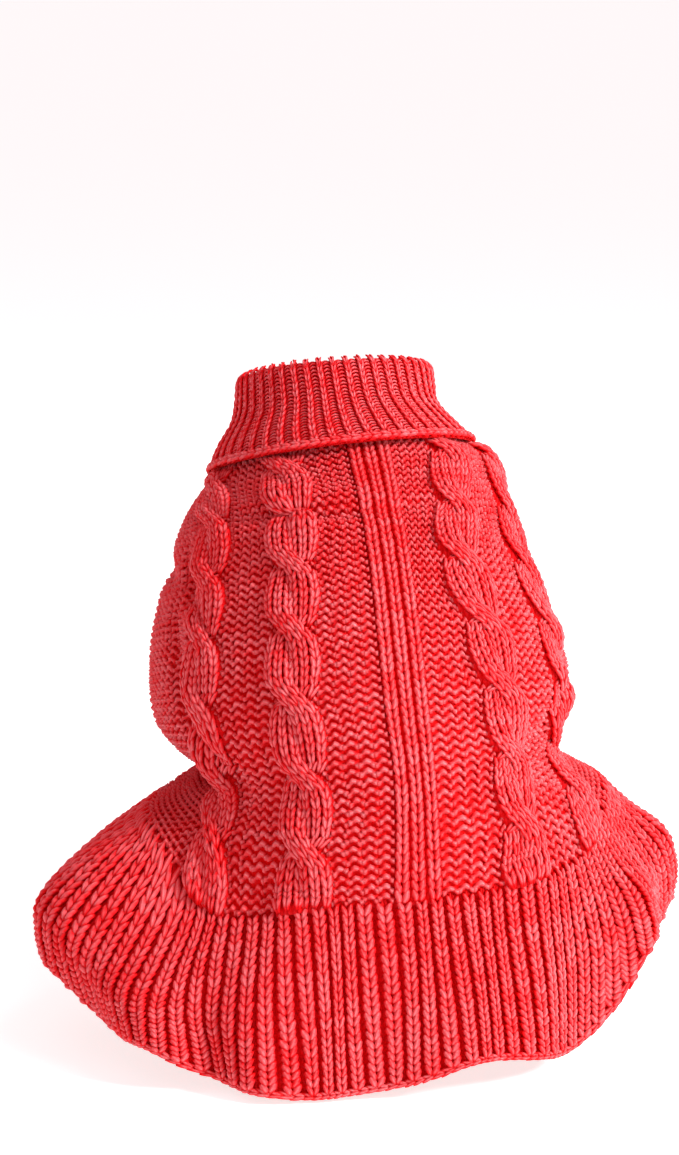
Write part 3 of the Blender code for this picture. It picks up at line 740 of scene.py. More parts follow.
@dataclass(frozen=True)
class StitchPlanter:
    """Plants a stitch on every place with Geometry Nodes, a little unevenly."""

    unevenness: float = 0.07
    wobble: float = 0.10
    seed: int = 11

    def tree(self) -> tuple[bpy.types.NodeTree, dict[str, str]]:
        """The node tree, and the identifier of each of its named inputs."""
        tree = bpy.data.node_groups.new("plant_stitches", "GeometryNodeTree")
        inputs = (
            ("Geometry", "NodeSocketGeometry"),
            ("Stitch", "NodeSocketObject"),
            ("Yarn finish", "NodeSocketMaterial"),
            ("Unevenness", "NodeSocketFloat"),
            ("Wobble", "NodeSocketFloat"),
            ("Seed", "NodeSocketInt"),
        )
        names = {}
        for label, kind in inputs:
            made = tree.interface.new_socket(name=label, in_out="INPUT", socket_type=kind)
            names[label] = made.identifier
        tree.interface.new_socket(name="Geometry", in_out="OUTPUT", socket_type="NodeSocketGeometry")
        bench = Bench(tree)
        given = bench.node("NodeGroupInput").outputs
        vector = {"data_type": "FLOAT_VECTOR"}

        def drawn(low: Wire, high: Wire) -> bpy.types.NodeSocket:
            """A random vector between two numbers."""
            limits = {"Min": low, "Max": high, "Seed": given["Seed"]}
            return bench.node("FunctionNodeRandomValue", vector, limits).outputs[0]

        unevenness, wobble = (Wire(bench, given[name]) for name in ("Unevenness", "Wobble"))
        uneven = drawn(1.0 - unevenness, unevenness + 1.0)
        named = bench.node("GeometryNodeInputNamedAttribute", vector, {"Name": "size"})
        size = bench.node("ShaderNodeVectorMath", {"operation": "MULTIPLY"}, {0: named.outputs[0], 1: uneven})
        euler = bench.node("FunctionNodeEulerToRotation", {}, {"Euler": drawn(wobble * -1.0, wobble)})
        quaternion = {"data_type": "QUATERNION"}
        facing = bench.node("GeometryNodeInputNamedAttribute", quaternion, {"Name": "facing"})
        turned = bench.node(
            "FunctionNodeRotateRotation",
            {"rotation_space": "LOCAL"},
            {"Rotation": bench.live(facing.outputs, "Attribute"), "Rotate By": euler.outputs[0]},
        )
        stitch = bench.node("GeometryNodeObjectInfo", {}, {"Object": given["Stitch"]})
        planted = bench.node(
            "GeometryNodeInstanceOnPoints",
            {},
            {
                "Points": given["Geometry"],
                "Instance": stitch.outputs["Geometry"],
                "Rotation": turned.outputs[0],
                "Scale": size.outputs[0],
            },
        )
        tone = bench.node("FunctionNodeRandomValue", {"data_type": "FLOAT"}, {"Seed": given["Seed"]})
        toned = bench.node(
            "GeometryNodeStoreNamedAttribute",
            {"data_type": "FLOAT", "domain": "INSTANCE"},
            {"Geometry": planted.outputs[0], "Name": "tone", "Value": bench.live(tone.outputs, "Value")},
        )
        real = bench.node("GeometryNodeRealizeInstances", {}, {"Geometry": toned.outputs[0]})
        dressed = bench.node(
            "GeometryNodeSetMaterial", {}, {"Geometry": real.outputs[0], "Material": given["Yarn finish"]}
        )
        bench.node("NodeGroupOutput", {}, {"Geometry": dressed.outputs[0]})
        return tree, names

    def plant(self, name: str, places: Places, stitch: Stitch) -> bpy.types.Object:
        """Makes one plain mesh of all the stitches of a piece.

        Args:
            name: The piece's name.
            places: Where the stitches go.
            stitch: The stitch planted on each of them.

        Returns:
            An object at the origin, with no modifier left on it.
        """
        finish = bpy.data.materials[YARN.name]
        cloud = bpy.data.meshes.new(name + "_places")
        cloud.from_pydata((places.middle * MM).tolist(), [], [])
        facing = cloud.attributes.new("facing", "QUATERNION", "POINT")
        facing.data.foreach_set("value", places.facings().astype(np.float32).ravel())
        size = cloud.attributes.new("size", "FLOAT_VECTOR", "POINT")
        size.data.foreach_set("vector", places.size.astype(np.float32).ravel())
        piece = bpy.data.objects.new(name, cloud)
        pattern = bpy.data.objects.new(name + "_stitch", stitch.skin().to_mesh(name + "_stitch"))
        tree, names = self.tree()
        modifier = piece.modifiers.new("stitches", "NODES")
        modifier.node_group = tree
        values = (pattern, finish, self.unevenness, self.wobble, self.seed)
        for label, value in zip(("Stitch", "Yarn finish", "Unevenness", "Wobble", "Seed"), values):
            modifier[names[label]] = value
        bpy.context.scene.collection.objects.link(piece)
        graph = bpy.context.evaluated_depsgraph_get()
        knitted = bpy.data.meshes.new_from_object(piece.evaluated_get(graph))
        piece.modifiers.clear()
        piece.data = knitted
        knitted.name = name
        bpy.data.meshes.remove(cloud)
        bpy.data.objects.remove(pattern)
        bpy.data.node_groups.remove(tree)
        return piece


# ---- Finishes ------------------------------------------------------------------------------------


class Bench:
    """Makes nodes in one tree."""

    def __init__(self, tree: bpy.types.NodeTree) -> None:
        """Works in the tree given."""
        self.tree = tree

    @staticmethod
    def live(sockets: bpy.types.NodeInputs, key: str | int) -> bpy.types.NodeSocket:
        """The socket in use among those that share a name, or the one at a number."""
        if isinstance(key, int):
            return sockets[key]
        return next(socket for socket in sockets if socket.name == key and socket.enabled)

    def node(self, kind: str, settings: dict | None = None, values: dict | None = None) -> bpy.types.Node:
        """Adds a node.

        Args:
            kind: The node's type.
            settings: What is set on the node itself, before its sockets.
            values: What each input socket gets: a number, a colour or a socket to link.

        Returns:
            The node.
        """
        made = self.tree.nodes.new(kind)
        for label, value in (settings or {}).items():
            setattr(made, label, value)
        for key, value in (values or {}).items():
            socket = self.live(made.inputs, key)
            value = value.socket if isinstance(value, Wire) else value
            if isinstance(value, bpy.types.NodeSocket):
                self.tree.links.new(value, socket)
            else:
                socket.default_value = value
        return made

    def attribute(self, name: str) -> bpy.types.Node:
        """Reads what the mesh carries under a name."""
        return self.node("ShaderNodeAttribute", {"attribute_name": name})

    def blend(self, share: "Wire", first: object, second: object) -> bpy.types.NodeSocket:
        """One colour or socket mixed with a share of another."""
        return self.node("ShaderNodeMix", {"data_type": "RGBA"}, {0: share, 6: first, 7: second}).outputs[2]

    def noise(self, scale: float, detail: float) -> "Wire":
        """Noise in the garment's own space, 0 to 1."""
        place = self.node("ShaderNodeTexCoord").outputs["Object"]
        values = {"Vector": place, "Scale": scale, "Detail": detail}
        return Wire(self, self.node("ShaderNodeTexNoise", {}, values).outputs["Fac"])

    def ramp(self, share: "Wire", stops: tuple[tuple[float, Colour], ...]) -> bpy.types.NodeSocket:
        """The colour that a share has among stops given in rising order."""
        made = self.node("ShaderNodeValToRGB", {}, {"Fac": share})
        elements = made.color_ramp.elements
        for _ in stops[2:]:
            elements.new(0.5)
        for element, (position, colour) in zip(elements, stops):
            element.position = position
            element.color = rgba(colour)
        return made.outputs["Color"]


class Wire:
    """A number in a shader; its operators add Math nodes."""

    def __init__(self, bench: Bench, socket: bpy.types.NodeSocket) -> None:
        """Wraps a socket."""
        self.bench = bench
        self.socket = socket

    def math(self, operation: str, first: object, second: object = 0.0) -> "Wire":
        """The result of one Math node."""
        made = self.bench.node("ShaderNodeMath", {"operation": operation}, {0: first, 1: second})
        return Wire(self.bench, made.outputs[0])

    def __add__(self, other: object) -> "Wire":
        """This plus another."""
        return self.math("ADD", self, other)

    def __sub__(self, other: object) -> "Wire":
        """This less another."""
        return self.math("SUBTRACT", self, other)

    def __rsub__(self, other: object) -> "Wire":
        """Another less this."""
        return self.math("SUBTRACT", other, self)

    def __mul__(self, other: object) -> "Wire":
        """This times another."""
        return self.math("MULTIPLY", self, other)

    def __pow__(self, other: object) -> "Wire":
        """This to a power."""
        return self.math("POWER", self, other)

    __radd__ = __add__
    __rmul__ = __mul__

    def of(self, operation: str) -> "Wire":
        """A Math node with this as its only input."""
        return self.math(operation, self)


def rgba(colour: Colour) -> tuple[float, float, float, float]:
    """A colour with full alpha."""
    return (*colour, 1.0)


@dataclass(frozen=True)
class YarnFinish:
    """Spun acrylic yarn: two plies and fine fibres; its colour carries painted shade where it dives under its
    neighbours, a painted highlight on its crests and a painted glint on its upper side.
    """

    name: str
    # Painted shade: the colour given where the yarn lies low, under its neighbours and between stitches.
    painted_shade: Colour = (0.79, 0.0004, 0.0012)
    plain: Colour = (0.78, 0.011, 0.017)
    # Painted highlight: the colour given on the yarn's crests.
    painted_highlight: Colour = (0.79, 0.124, 0.140)
    # Painted glint: the pale highlight painted on the upper side of the crests.
    glint: Colour = (0.98, 0.40, 0.42)
    roughness: float = 0.6
    glow: float = 0.25
    glow_reach: tuple[float, float, float] = (1.0, 0.10, 0.10)
    glow_scale: float = 0.003
    shine: float = 0.12
    shine_colour: Colour = (1.0, 0.70, 0.70)
    ply_pitch: float = 2.6
    fibre_scale: float = 2600.0
    fibre_detail: float = 3.0
    patch_scale: float = 22.0
    patch_detail: float = 2.0
    bump: float = 0.45
    bump_depth: float = 0.0004
    crest_share: float = 0.85
    tone_share: float = 0.22
    ply_share: float = 0.09
    patch_share: float = 0.3
    relief: float = 0.6
    glint_gain: float = 1.6
    glint_cut: float = 0.3
    glint_upper: float = 4.0
    glint_lit: float = 3.0
    stops: tuple[float, float, float] = (0.15, 0.5, 0.9)

    def shader(self) -> tuple[bpy.types.Material, Bench, bpy.types.Node]:
        """A new material with the constants of this yarn set on its shader."""
        material = bpy.data.materials.new(self.name)
        material.use_nodes = True
        bench = Bench(material.node_tree)
        surface = material.node_tree.nodes["Principled BSDF"]
        values = {
            "Roughness": self.roughness,
            "Subsurface Weight": self.glow,
            "Subsurface Radius": self.glow_reach,
            "Subsurface Scale": self.glow_scale,
            "Specular IOR Level": self.shine,
            "Specular Tint": rgba(self.shine_colour),
        }
        for label, value in values.items():
            surface.inputs[label].default_value = value
        return material, bench, surface

    def patches(self, bench: Bench) -> Wire:
        """How far the dye's slow unevenness lifts the colour."""
        return (bench.noise(self.patch_scale, self.patch_detail) - 0.5) * self.patch_share

    def dress(
        self, bench: Bench, surface: bpy.types.Node, colour: bpy.types.NodeSocket, height: Wire
    ) -> None:
        """Feeds the shader a colour and a relief.

        Args:
            bench: Where the material's nodes are made.
            surface: Its shader.
            colour: The base colour.
            height: The relief, as a share of the bump's depth.
        """
        values = {"Strength": self.bump, "Distance": self.bump_depth, "Height": height}
        bump = bench.node("ShaderNodeBump", {}, values)
        bench.tree.links.new(colour, surface.inputs["Base Color"])
        bench.tree.links.new(bump.outputs["Normal"], surface.inputs["Normal"])

    def plies(self, bench: Bench) -> tuple[Wire, Wire]:
        """The ridges of two plies twisted together.

        Args:
            bench: Where the material's nodes are made.

        Returns:
            The ridges, from -1 to 1, and how far towards the yarn's upper side a point lies.
        """
        parts = bench.node("ShaderNodeSeparateXYZ", {}, {"Vector": bench.attribute("yarn").outputs["Vector"]})
        along, cosine, sine = (Wire(bench, socket) for socket in parts.outputs)
        twist = along * (2.0 * math.pi / self.ply_pitch)
        double_cosine = cosine * cosine - sine * sine
        double_sine = cosine * sine * 2.0
        return twist.of("SINE") * double_cosine + twist.of("COSINE") * double_sine, sine

    def material(self) -> bpy.types.Material:
        """The yarn's material."""
        material, bench, surface = self.shader()
        crest = Wire(bench, bench.attribute("crest").outputs["Fac"])
        tone = Wire(bench, bench.attribute("tone").outputs["Fac"])
        plies, upper = self.plies(bench)
        fibres = bench.noise(self.fibre_scale, self.fibre_detail)
        # Painted light: the crest's height gives painted shade low down and a painted highlight on top, and the
        # ply ridges add painted shade in their grooves; the random tone and the dye patches are the yarn's own.
        painted_light_and_tone = crest * self.crest_share + (tone - 0.5) * self.tone_share + plies * self.ply_share
        painted_light_and_tone = painted_light_and_tone + self.patches(bench)
        yarn = bench.ramp(painted_light_and_tone, tuple(zip(self.stops, (self.painted_shade, self.plain, self.painted_highlight))))
        # Painted glint: the upper side of the crests with the most painted light is lightened, broken up by the
        # fibres.
        edge = upper.math("MAXIMUM", upper, 0.0) ** self.glint_upper * painted_light_and_tone**self.glint_lit
        colour = bench.blend(edge * (fibres * self.glint_gain - self.glint_cut), yarn, rgba(self.glint))
        self.dress(bench, surface, colour, (plies + fibres) * self.relief)
        return material


@dataclass(frozen=True)
class ClothFinish(YarnFinish):
    """Knitted ground seen between stitches and on the garment's inside: rows of small Vs in relief, with
    painted shade in the hollows between them.
    """

    bump: float = 0.9
    bump_depth: float = 0.0012
    knit_share: float = 0.75
    fibre_share: float = 0.2
    fibre_relief: float = 0.15
    arm_falloff: float = 3.6
    arm_slant: float = 1.1
    row_falloff: float = 1.3
    cloth_stops: tuple[float, float] = (0.05, 0.80)

    def material(self) -> bpy.types.Material:
        """The cloth's material, from its knit coordinates: wales across, rows down."""
        material, bench, surface = self.shader()
        knit = bench.node("ShaderNodeUVMap", {"uv_map": "knit"}).outputs["UV"]
        parts = bench.node("ShaderNodeSeparateXYZ", {}, {"Vector": knit})
        wale, row = Wire(bench, parts.outputs["X"]), Wire(bench, parts.outputs["Y"])
        aside = (wale.of("FRACT") - 0.5).of("ABSOLUTE")
        arm = 1.0 - ((aside - 0.25) * self.arm_falloff) ** 2.0
        through_row = (row - aside * self.arm_slant).of("FRACT") - 0.5
        leaf = 1.0 - through_row.of("ABSOLUTE") * self.row_falloff
        stitches = arm * leaf
        fibres = bench.noise(self.fibre_scale, self.fibre_detail)
        # Painted shade: the hollows between the Vs take the shaded colour; the dye patches and fibres are the
        # yarn's own.
        painted_light_and_tone = stitches * self.knit_share + self.patches(bench) + (fibres - 0.5) * self.fibre_share
        colour = bench.ramp(painted_light_and_tone, tuple(zip(self.cloth_stops, (self.painted_shade, self.plain))))
        self.dress(bench, surface, colour, stitches + fibres * self.fibre_relief)
        return material


YARN = YarnFinish("red_acrylic_yarn")
GROUND = ClothFinish("red_acrylic_knit")


# ---- Pieces --------------------------------------------------------------------------------------


def wall_skin(outer: Array, inner: Array, around: bool) -> Skin:
    """A closed wall between two grids of the same size.

    Args:
        outer: Points of the outer face, rows by columns.
        inner: Points of the inner face.
        around: Whether the last column meets the first.

    Returns:
        The wall, with no attributes.
    """
    rows, columns = outer.shape[:2]
    number = np.arange(rows * columns).reshape(rows, columns)
    other = number + rows * columns
    if around:
        number = np.concatenate([number, number[:, :1]], axis=1)
        other = np.concatenate([other, other[:, :1]], axis=1)

    def quads(one: Array, two: Array) -> list[tuple[int, ...]]:
        """Faces between two lines of points that run alike."""
        corners = np.stack([one[:-1], one[1:], two[1:], two[:-1]], axis=-1)
        return [tuple(int(k) for k in face) for face in corners]

    faces = []
    for upper, lower in zip(number[:-1], number[1:]):
        faces += quads(lower, upper)
    for upper, lower in zip(other[:-1], other[1:]):
        faces += quads(upper, lower)
    faces += quads(number[0], other[0]) + quads(other[-1], number[-1])
    if not around:
        faces += quads(other[:, 0], number[:, 0]) + quads(number[:, -1], other[:, -1])
    points = np.concatenate([outer.reshape(-1, 3), inner.reshape(-1, 3)])
    return Skin(points, faces, {})


def cloth_object(
    name: str, outer: Array, inner: Array, knit: Array, around: bool = False
) -> bpy.types.Object:
    """A sheet's object: a closed thin wall with its knit coordinates.

    Args:
        name: The piece's name.
        outer: Its outer face's grid of points.
        inner: Its inner face's grid.
        knit: Wale and row of each grid point.
        around: Whether the last column meets the first.

    Returns:
        The object, at the origin.
    """
    mesh = wall_skin(outer, inner, around).to_mesh(name)
    mesh.materials.append(bpy.data.materials[GROUND.name])
    layer = mesh.uv_layers.new(name="knit")
    corner = np.empty(len(mesh.loops), np.int32)
    mesh.loops.foreach_get("vertex_index", corner)
    both = np.concatenate([knit.reshape(-1, 2), knit.reshape(-1, 2)])
    layer.data.foreach_set("uv", both[corner].astype(np.float32).ravel())
    if not mesh_faces_out(mesh):
        mesh.flip_normals()
    piece = bpy.data.objects.new(name, mesh)
    bpy.context.scene.collection.objects.link(piece)
    return piece


def mesh_faces_out(mesh: bpy.types.Mesh) -> bool:
    """Whether a closed mesh's faces point outwards, from the sign of its volume."""
    mesh.calc_loop_triangles()
    corners = np.empty(len(mesh.loop_triangles) * 3, np.int32)
    mesh.loop_triangles.foreach_get("vertices", corners)
    points = np.empty(len(mesh.vertices) * 3)
    mesh.vertices.foreach_get("co", points)
    a, b, c = points.reshape(-1, 3)[corners.reshape(-1, 3)].transpose(1, 0, 2)
    return float(np.einsum("ij,ij->i", a, np.cross(b, c)).sum()) > 0


def piece_area(piece: bpy.types.Object) -> float:
    """Half of a closed sheet's surface, in square metres."""
    return 0.5 * sum(face.area for face in piece.data.polygons)


@dataclass
class KnitPiece:
    """One sewn piece of the sweater: its ground cloth and the stitches on it."""

    node: str
    cut_width: float
    cut_length: float

    def bind_off(
        self, rim: Callable, angles: Array, at: float, stitch: Stitch, reach: float, seed: int
    ) -> bpy.types.Object:
        """The chain of bound-off stitches along a free edge.

        Args:
            rim: The edge's surface, read with the angle first.
            angles: Where the stitches lie along the edge.
            at: How far down the piece the edge is.
            stitch: What it is bound off with.
            reach: What one stitch spans down the piece.
            seed: The seed of its unevenness.

        Returns:
            The chain's object.
        """
        angle, down = grid(angles, [at])
        places = Places.on(rim, angle, down, angles[1] - angles[0], -reach, stitch)
        places.size[:, 0] = 1.0
        return StitchPlanter(seed=seed).plant(self.label + "_bind_off", places, stitch)

    @property
    def label(self) -> str:
        """What the names of its objects start with."""
        return self.node.removesuffix("_panel")

    def declare(self, cloth: bpy.types.Object, stitches: list[bpy.types.Object], held: str) -> None:
        """Parents the cloth and stitches to the root, hides the solid they stand for and logs their triangles
        and the cloth's area.

        Args:
            cloth: The ground cloth, which stands for the solid.
            stitches: The yarn pieces on it.
            held: How the cloth is held; not used.
        """
        slot = self.node + "_knit"
        for piece in (cloth, *stitches):
            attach(piece, ROOT)
        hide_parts(self.node)
        area = piece_area(cloth)
        flat = (self.cut_width * MM, self.cut_length * MM)
        faces = (face for piece in (cloth, *stitches) for face in piece.data.polygons)
        triangles = sum(len(face.vertices) - 2 for face in faces)
        LOG.info("%s: %d triangles, %.4f m2 of %.4f m2 cut", self.node, triangles, area, flat[0] * flat[1])


@dataclass
class BackPanel(KnitPiece):
    """The back: centre rib, purl ground and four cables."""

    knitting: BackKnitting
    wall: float = 2.0
    ground_depth: float = 0.55
    ground_relief: float = 0.8
    rib_rise: float = 1.1
    row: float = 3.5
    seam: float = 1.2
    cloth_rows: int = 110
    rib_columns: int = 4
    purl_columns: int = 6
    cable_columns: int = 22
    side_columns: int = 20
    step_in: float = 0.01
    cable_in: float = 0.2
    cable_width_limits: tuple[float, float] = (0.9, 1.25)
    cable_row_limits: tuple[float, float] = (0.8, 1.5)
    dome_floor: float = 0.05
    purl: Stitch = Stitch(StitchKind.PURL, 5.2, 3.5, 1.12, shade=0.5)
    side_purl: Stitch = Stitch(StitchKind.PURL, 5.2, 3.5, 1.12, shade=0.5, sides=4, rings=7)
    cable: Stitch = Stitch(StitchKind.KNIT, 3.7, 3.5, 0.84, 0.85)
    rib: Stitch = Stitch(StitchKind.KNIT, 5.6, 3.5, 1.12, 0.74)

    def rows(self, starts: float = 0.4) -> Array:
        """Where each row of stitches lies, down the back."""
        count = int(self.knitting.body.length / self.row)
        return (np.arange(count) + starts) * self.knitting.body.length / count

    def cloth(self) -> bpy.types.Object:
        """The ground under the stitches."""
        knitting = self.knitting
        ends = knitting.ends
        spans = (
            (0.0, ends[0], self.rib_columns),
            (ends[0] + self.step_in, ends[1], self.purl_columns),
            (ends[1] + self.cable_in, ends[2] - self.cable_in, self.cable_columns),
            (ends[2], ends[3], self.purl_columns),
            (ends[3] + self.cable_in, ends[4] - self.cable_in, self.cable_columns),
            (ends[4], ends[5], self.side_columns),
        )
        half = np.concatenate([np.linspace(*span) for span in spans])
        wales = np.concatenate([-half[:0:-1], half])
        down, wale = grid(np.linspace(0.0, knitting.body.length + self.seam, self.cloth_rows + 1), wales)
        relief = knitting.relief(down, wale)
        outer = knitting.point(down, wale, relief * self.ground_relief - self.ground_depth)
        inner = knitting.point(down, wale, np.full(down.shape, -self.wall))
        knit = np.stack([wale + 0.5, down / self.row], axis=-1)
        return cloth_object("back_cloth", outer, inner, knit)

    def straight(self, wales: list[float], stitch: Stitch, height: float) -> Places:
        """Stitches on wales that keep to the ground.

        Args:
            wales: The wales' middles.
            stitch: What they are knitted with.
            height: How far they stand off the ground.

        Returns:
            Their places.
        """
        down, wale = grid(self.rows(), wales)
        raised = height * self.knitting.fade(down)

        def face(at_down: Array, at_wale: Array) -> Array:
            """The stitches' own surface."""
            return self.knitting.point(at_down, at_wale, raised)

        return Places.on(face, down, wale, self.row, 1.0, stitch)

    def cable_places(self, start: float, mirrored: bool) -> Places:
        """The six wales of one cable, following its strands.

        Args:
            start: The wale count at which the cable starts.
            mirrored: Whether it is on the left half of the back.

        Returns:
            The places of its stitches.
        """
        knitting = self.knitting
        lanes = []
        rows = self.rows()
        repeat = np.floor((rows - knitting.cable_start) / knitting.cable_repeat)
        for side in (-1.0, 1.0):
            for lane in (-1.0, 0.0, 1.0):

                def face(down: Array, shift: Array, side: float = side, lane: float = lane) -> Array:
                    """The surface round one wale of one strand."""
                    centre, crest = knitting.strand(down, side, repeat)
                    away = lane * knitting.lane + shift
                    across = centre + away
                    round_top = 1.0 - (away / knitting.strand_half) ** 2
                    dome = np.sqrt(np.clip(round_top, self.dome_floor, 1.0))
                    count = start + knitting.cable_wales * (1.0 - across if mirrored else across)
                    wale = -count if mirrored else count
                    return knitting.point(down, wale, crest * dome * knitting.fade(down))

                places = Places.on(face, rows, np.zeros_like(rows), self.row, knitting.lane, self.cable)
                places.size[:, 0] = np.clip(places.size[:, 0], *self.cable_width_limits)
                places.size[:, 1] = np.clip(places.size[:, 1], *self.cable_row_limits)
                lanes.append(places)
        return Places.joined(lanes)

    def build(self) -> None:
        knitting = self.knitting
        ends = knitting.ends
        planter = StitchPlanter()
        near = [ends[0] + 0.5 + k for k in range(knitting.purl_wales + 1)]
        far = [ends[2] - 0.5 + k for k in range(knitting.purl_wales + 2)]
        side = [ends[4] - 0.5 + k for k in range(knitting.side_wales + 1)]
        inner = [w * s for w in near + far for s in (-1, 1)]
        pieces = [
            planter.plant("back_purl", self.straight(sorted(inner), self.purl, 0.0), self.purl),
            planter.plant("back_rib", self.straight([-1.0, 0.0, 1.0], self.rib, self.rib_rise), self.rib),
        ]
        for name, way in (("left", -1), ("right", 1)):
            places = self.straight([way * w for w in side], self.side_purl, 0.0)
            pieces.append(planter.plant("back_side_purl_" + name, places, self.side_purl))
        kinds = [(start, mirrored) for start in (ends[1], ends[3]) for mirrored in (True, False)]
        cables = [self.cable_places(start, mirrored) for start, mirrored in kinds]
        pieces.append(planter.plant("back_cables", Places.joined(cables), self.cable))
        self.declare(self.cloth(), pieces, "stretched")


@dataclass
class BellyPanel(KnitPiece):
    """The belly: plain knit, cut away in an arch at its hem."""

    body: BodyForm
    wall: float = 2.0
    row: float = 3.5
    wales: int = 22
    ground_depth: float = 0.9
    crest_rise: float = -0.1
    cloth_rows: int = 64
    cloth_columns: int = 60
    plain: Stitch = Stitch(StitchKind.KNIT, 5.2, 3.5, 1.28, sides=4)

    def point(self, share: Array, across: Array, height: float) -> Array:
        """A point of the panel: share runs down it, across from -1 to 1."""
        down = share * (self.body.length - self.body.belly_arch * np.cos(0.5 * np.pi * across) ** 2)
        angle = 180.0 + across * (180.0 - self.body.belly_edge(down))
        return self.body.offset(down, angle, np.full(down.shape, height))

    def build(self) -> None:
        columns = np.linspace(-1.0, 1.0, self.cloth_columns + 1)
        share, across = grid(np.linspace(0.0, 1.0, self.cloth_rows + 1), columns)
        rows = int(self.body.length / self.row)
        knit = np.stack([(across + 1.0) * 0.5 * self.wales, share * rows], axis=-1)
        outer = self.point(share, across, -self.ground_depth)
        inner = self.point(share, across, -self.wall)
        cloth = cloth_object("belly_cloth", outer, inner, knit)
        wales = (np.arange(self.wales) + 0.5) / self.wales * 2.0 - 1.0
        share, across = grid((np.arange(rows) + 0.5) / rows, wales)

        def face(at_share: Array, at_across: Array) -> Array:
            """The surface that the stitches lie on."""
            return self.point(at_share, at_across, self.crest_rise)

        places = Places.on(face, share, across, 1.0 / rows, 2.0 / self.wales, self.plain)
        stitches = StitchPlanter(seed=5).plant("belly_knit", places, self.plain)
        self.declare(cloth, [stitches], "stretched")


@dataclass
class Skirt(KnitPiece):
    """The ruffle: a fluted 1x1 rib with a bound-off hem."""

    form: SkirtForm = SkirtForm()
    wall: float = 2.0
    rows: int = 21
    cloth_rows: int = 30
    steps: int = 6
    wave: float = 0.6
    inner_wave: float = 0.4
    ground_depth: float = 0.5
    seam: float = -0.03
    crest_rise: float = 0.75
    wale_share: float = 0.88
    first_row: float = 0.45
    knit_reach: float = 0.97
    width_limits: tuple[float, float] = (0.7, 1.45)
    edge_rise: float = 0.1
    edge_at: float = 0.985
    edge_reach: float = 0.045
    knit: Stitch = Stitch(StitchKind.KNIT, 5.6, 3.3, 1.08)
    edge: Stitch = Stitch(StitchKind.KNIT, 2.8, 4.4, 0.75)

    def build(self) -> None:
        form = self.form
        pitch = 2 * form.half_angle / form.ribs
        columns = np.linspace(-form.half_angle, form.half_angle, form.ribs * self.steps + 1)
        share, angle = grid(np.linspace(self.seam, 1.0, self.cloth_rows + 1), columns)
        wave = -np.cos(2 * np.pi * (angle + form.half_angle) / pitch)
        outer = form.offset(share, angle, wave * self.wave - self.ground_depth)
        inner = form.offset(share, angle, wave * self.inner_wave - self.wall)
        knit = np.stack([(angle + form.half_angle) / pitch * 2.0 + 0.5, share * self.rows], axis=-1)
        cloth = cloth_object("skirt_cloth", outer, inner, knit)
        crests = (np.arange(form.ribs) + 0.5) * pitch - form.half_angle
        courses = (np.arange(self.rows) + self.first_row) / self.rows * self.knit_reach
        share, angle = grid(courses, crests)
        face = form.raised(self.crest_rise)
        places = Places.on(face, share, angle, 1.0 / self.rows, pitch * self.wale_share, self.knit)
        places.size[:, 0] = np.clip(places.size[:, 0], *self.width_limits)
        pieces = [StitchPlanter(seed=7).plant("skirt_knit", places, self.knit)]
        links = (np.arange(form.ribs * 2) + 0.5) * 0.5 * pitch - form.half_angle
        rim = form.rim(self.edge_rise)
        pieces.append(self.bind_off(rim, links, self.edge_at, self.edge, self.edge_reach, 8))
        self.declare(cloth, pieces, "gathered")


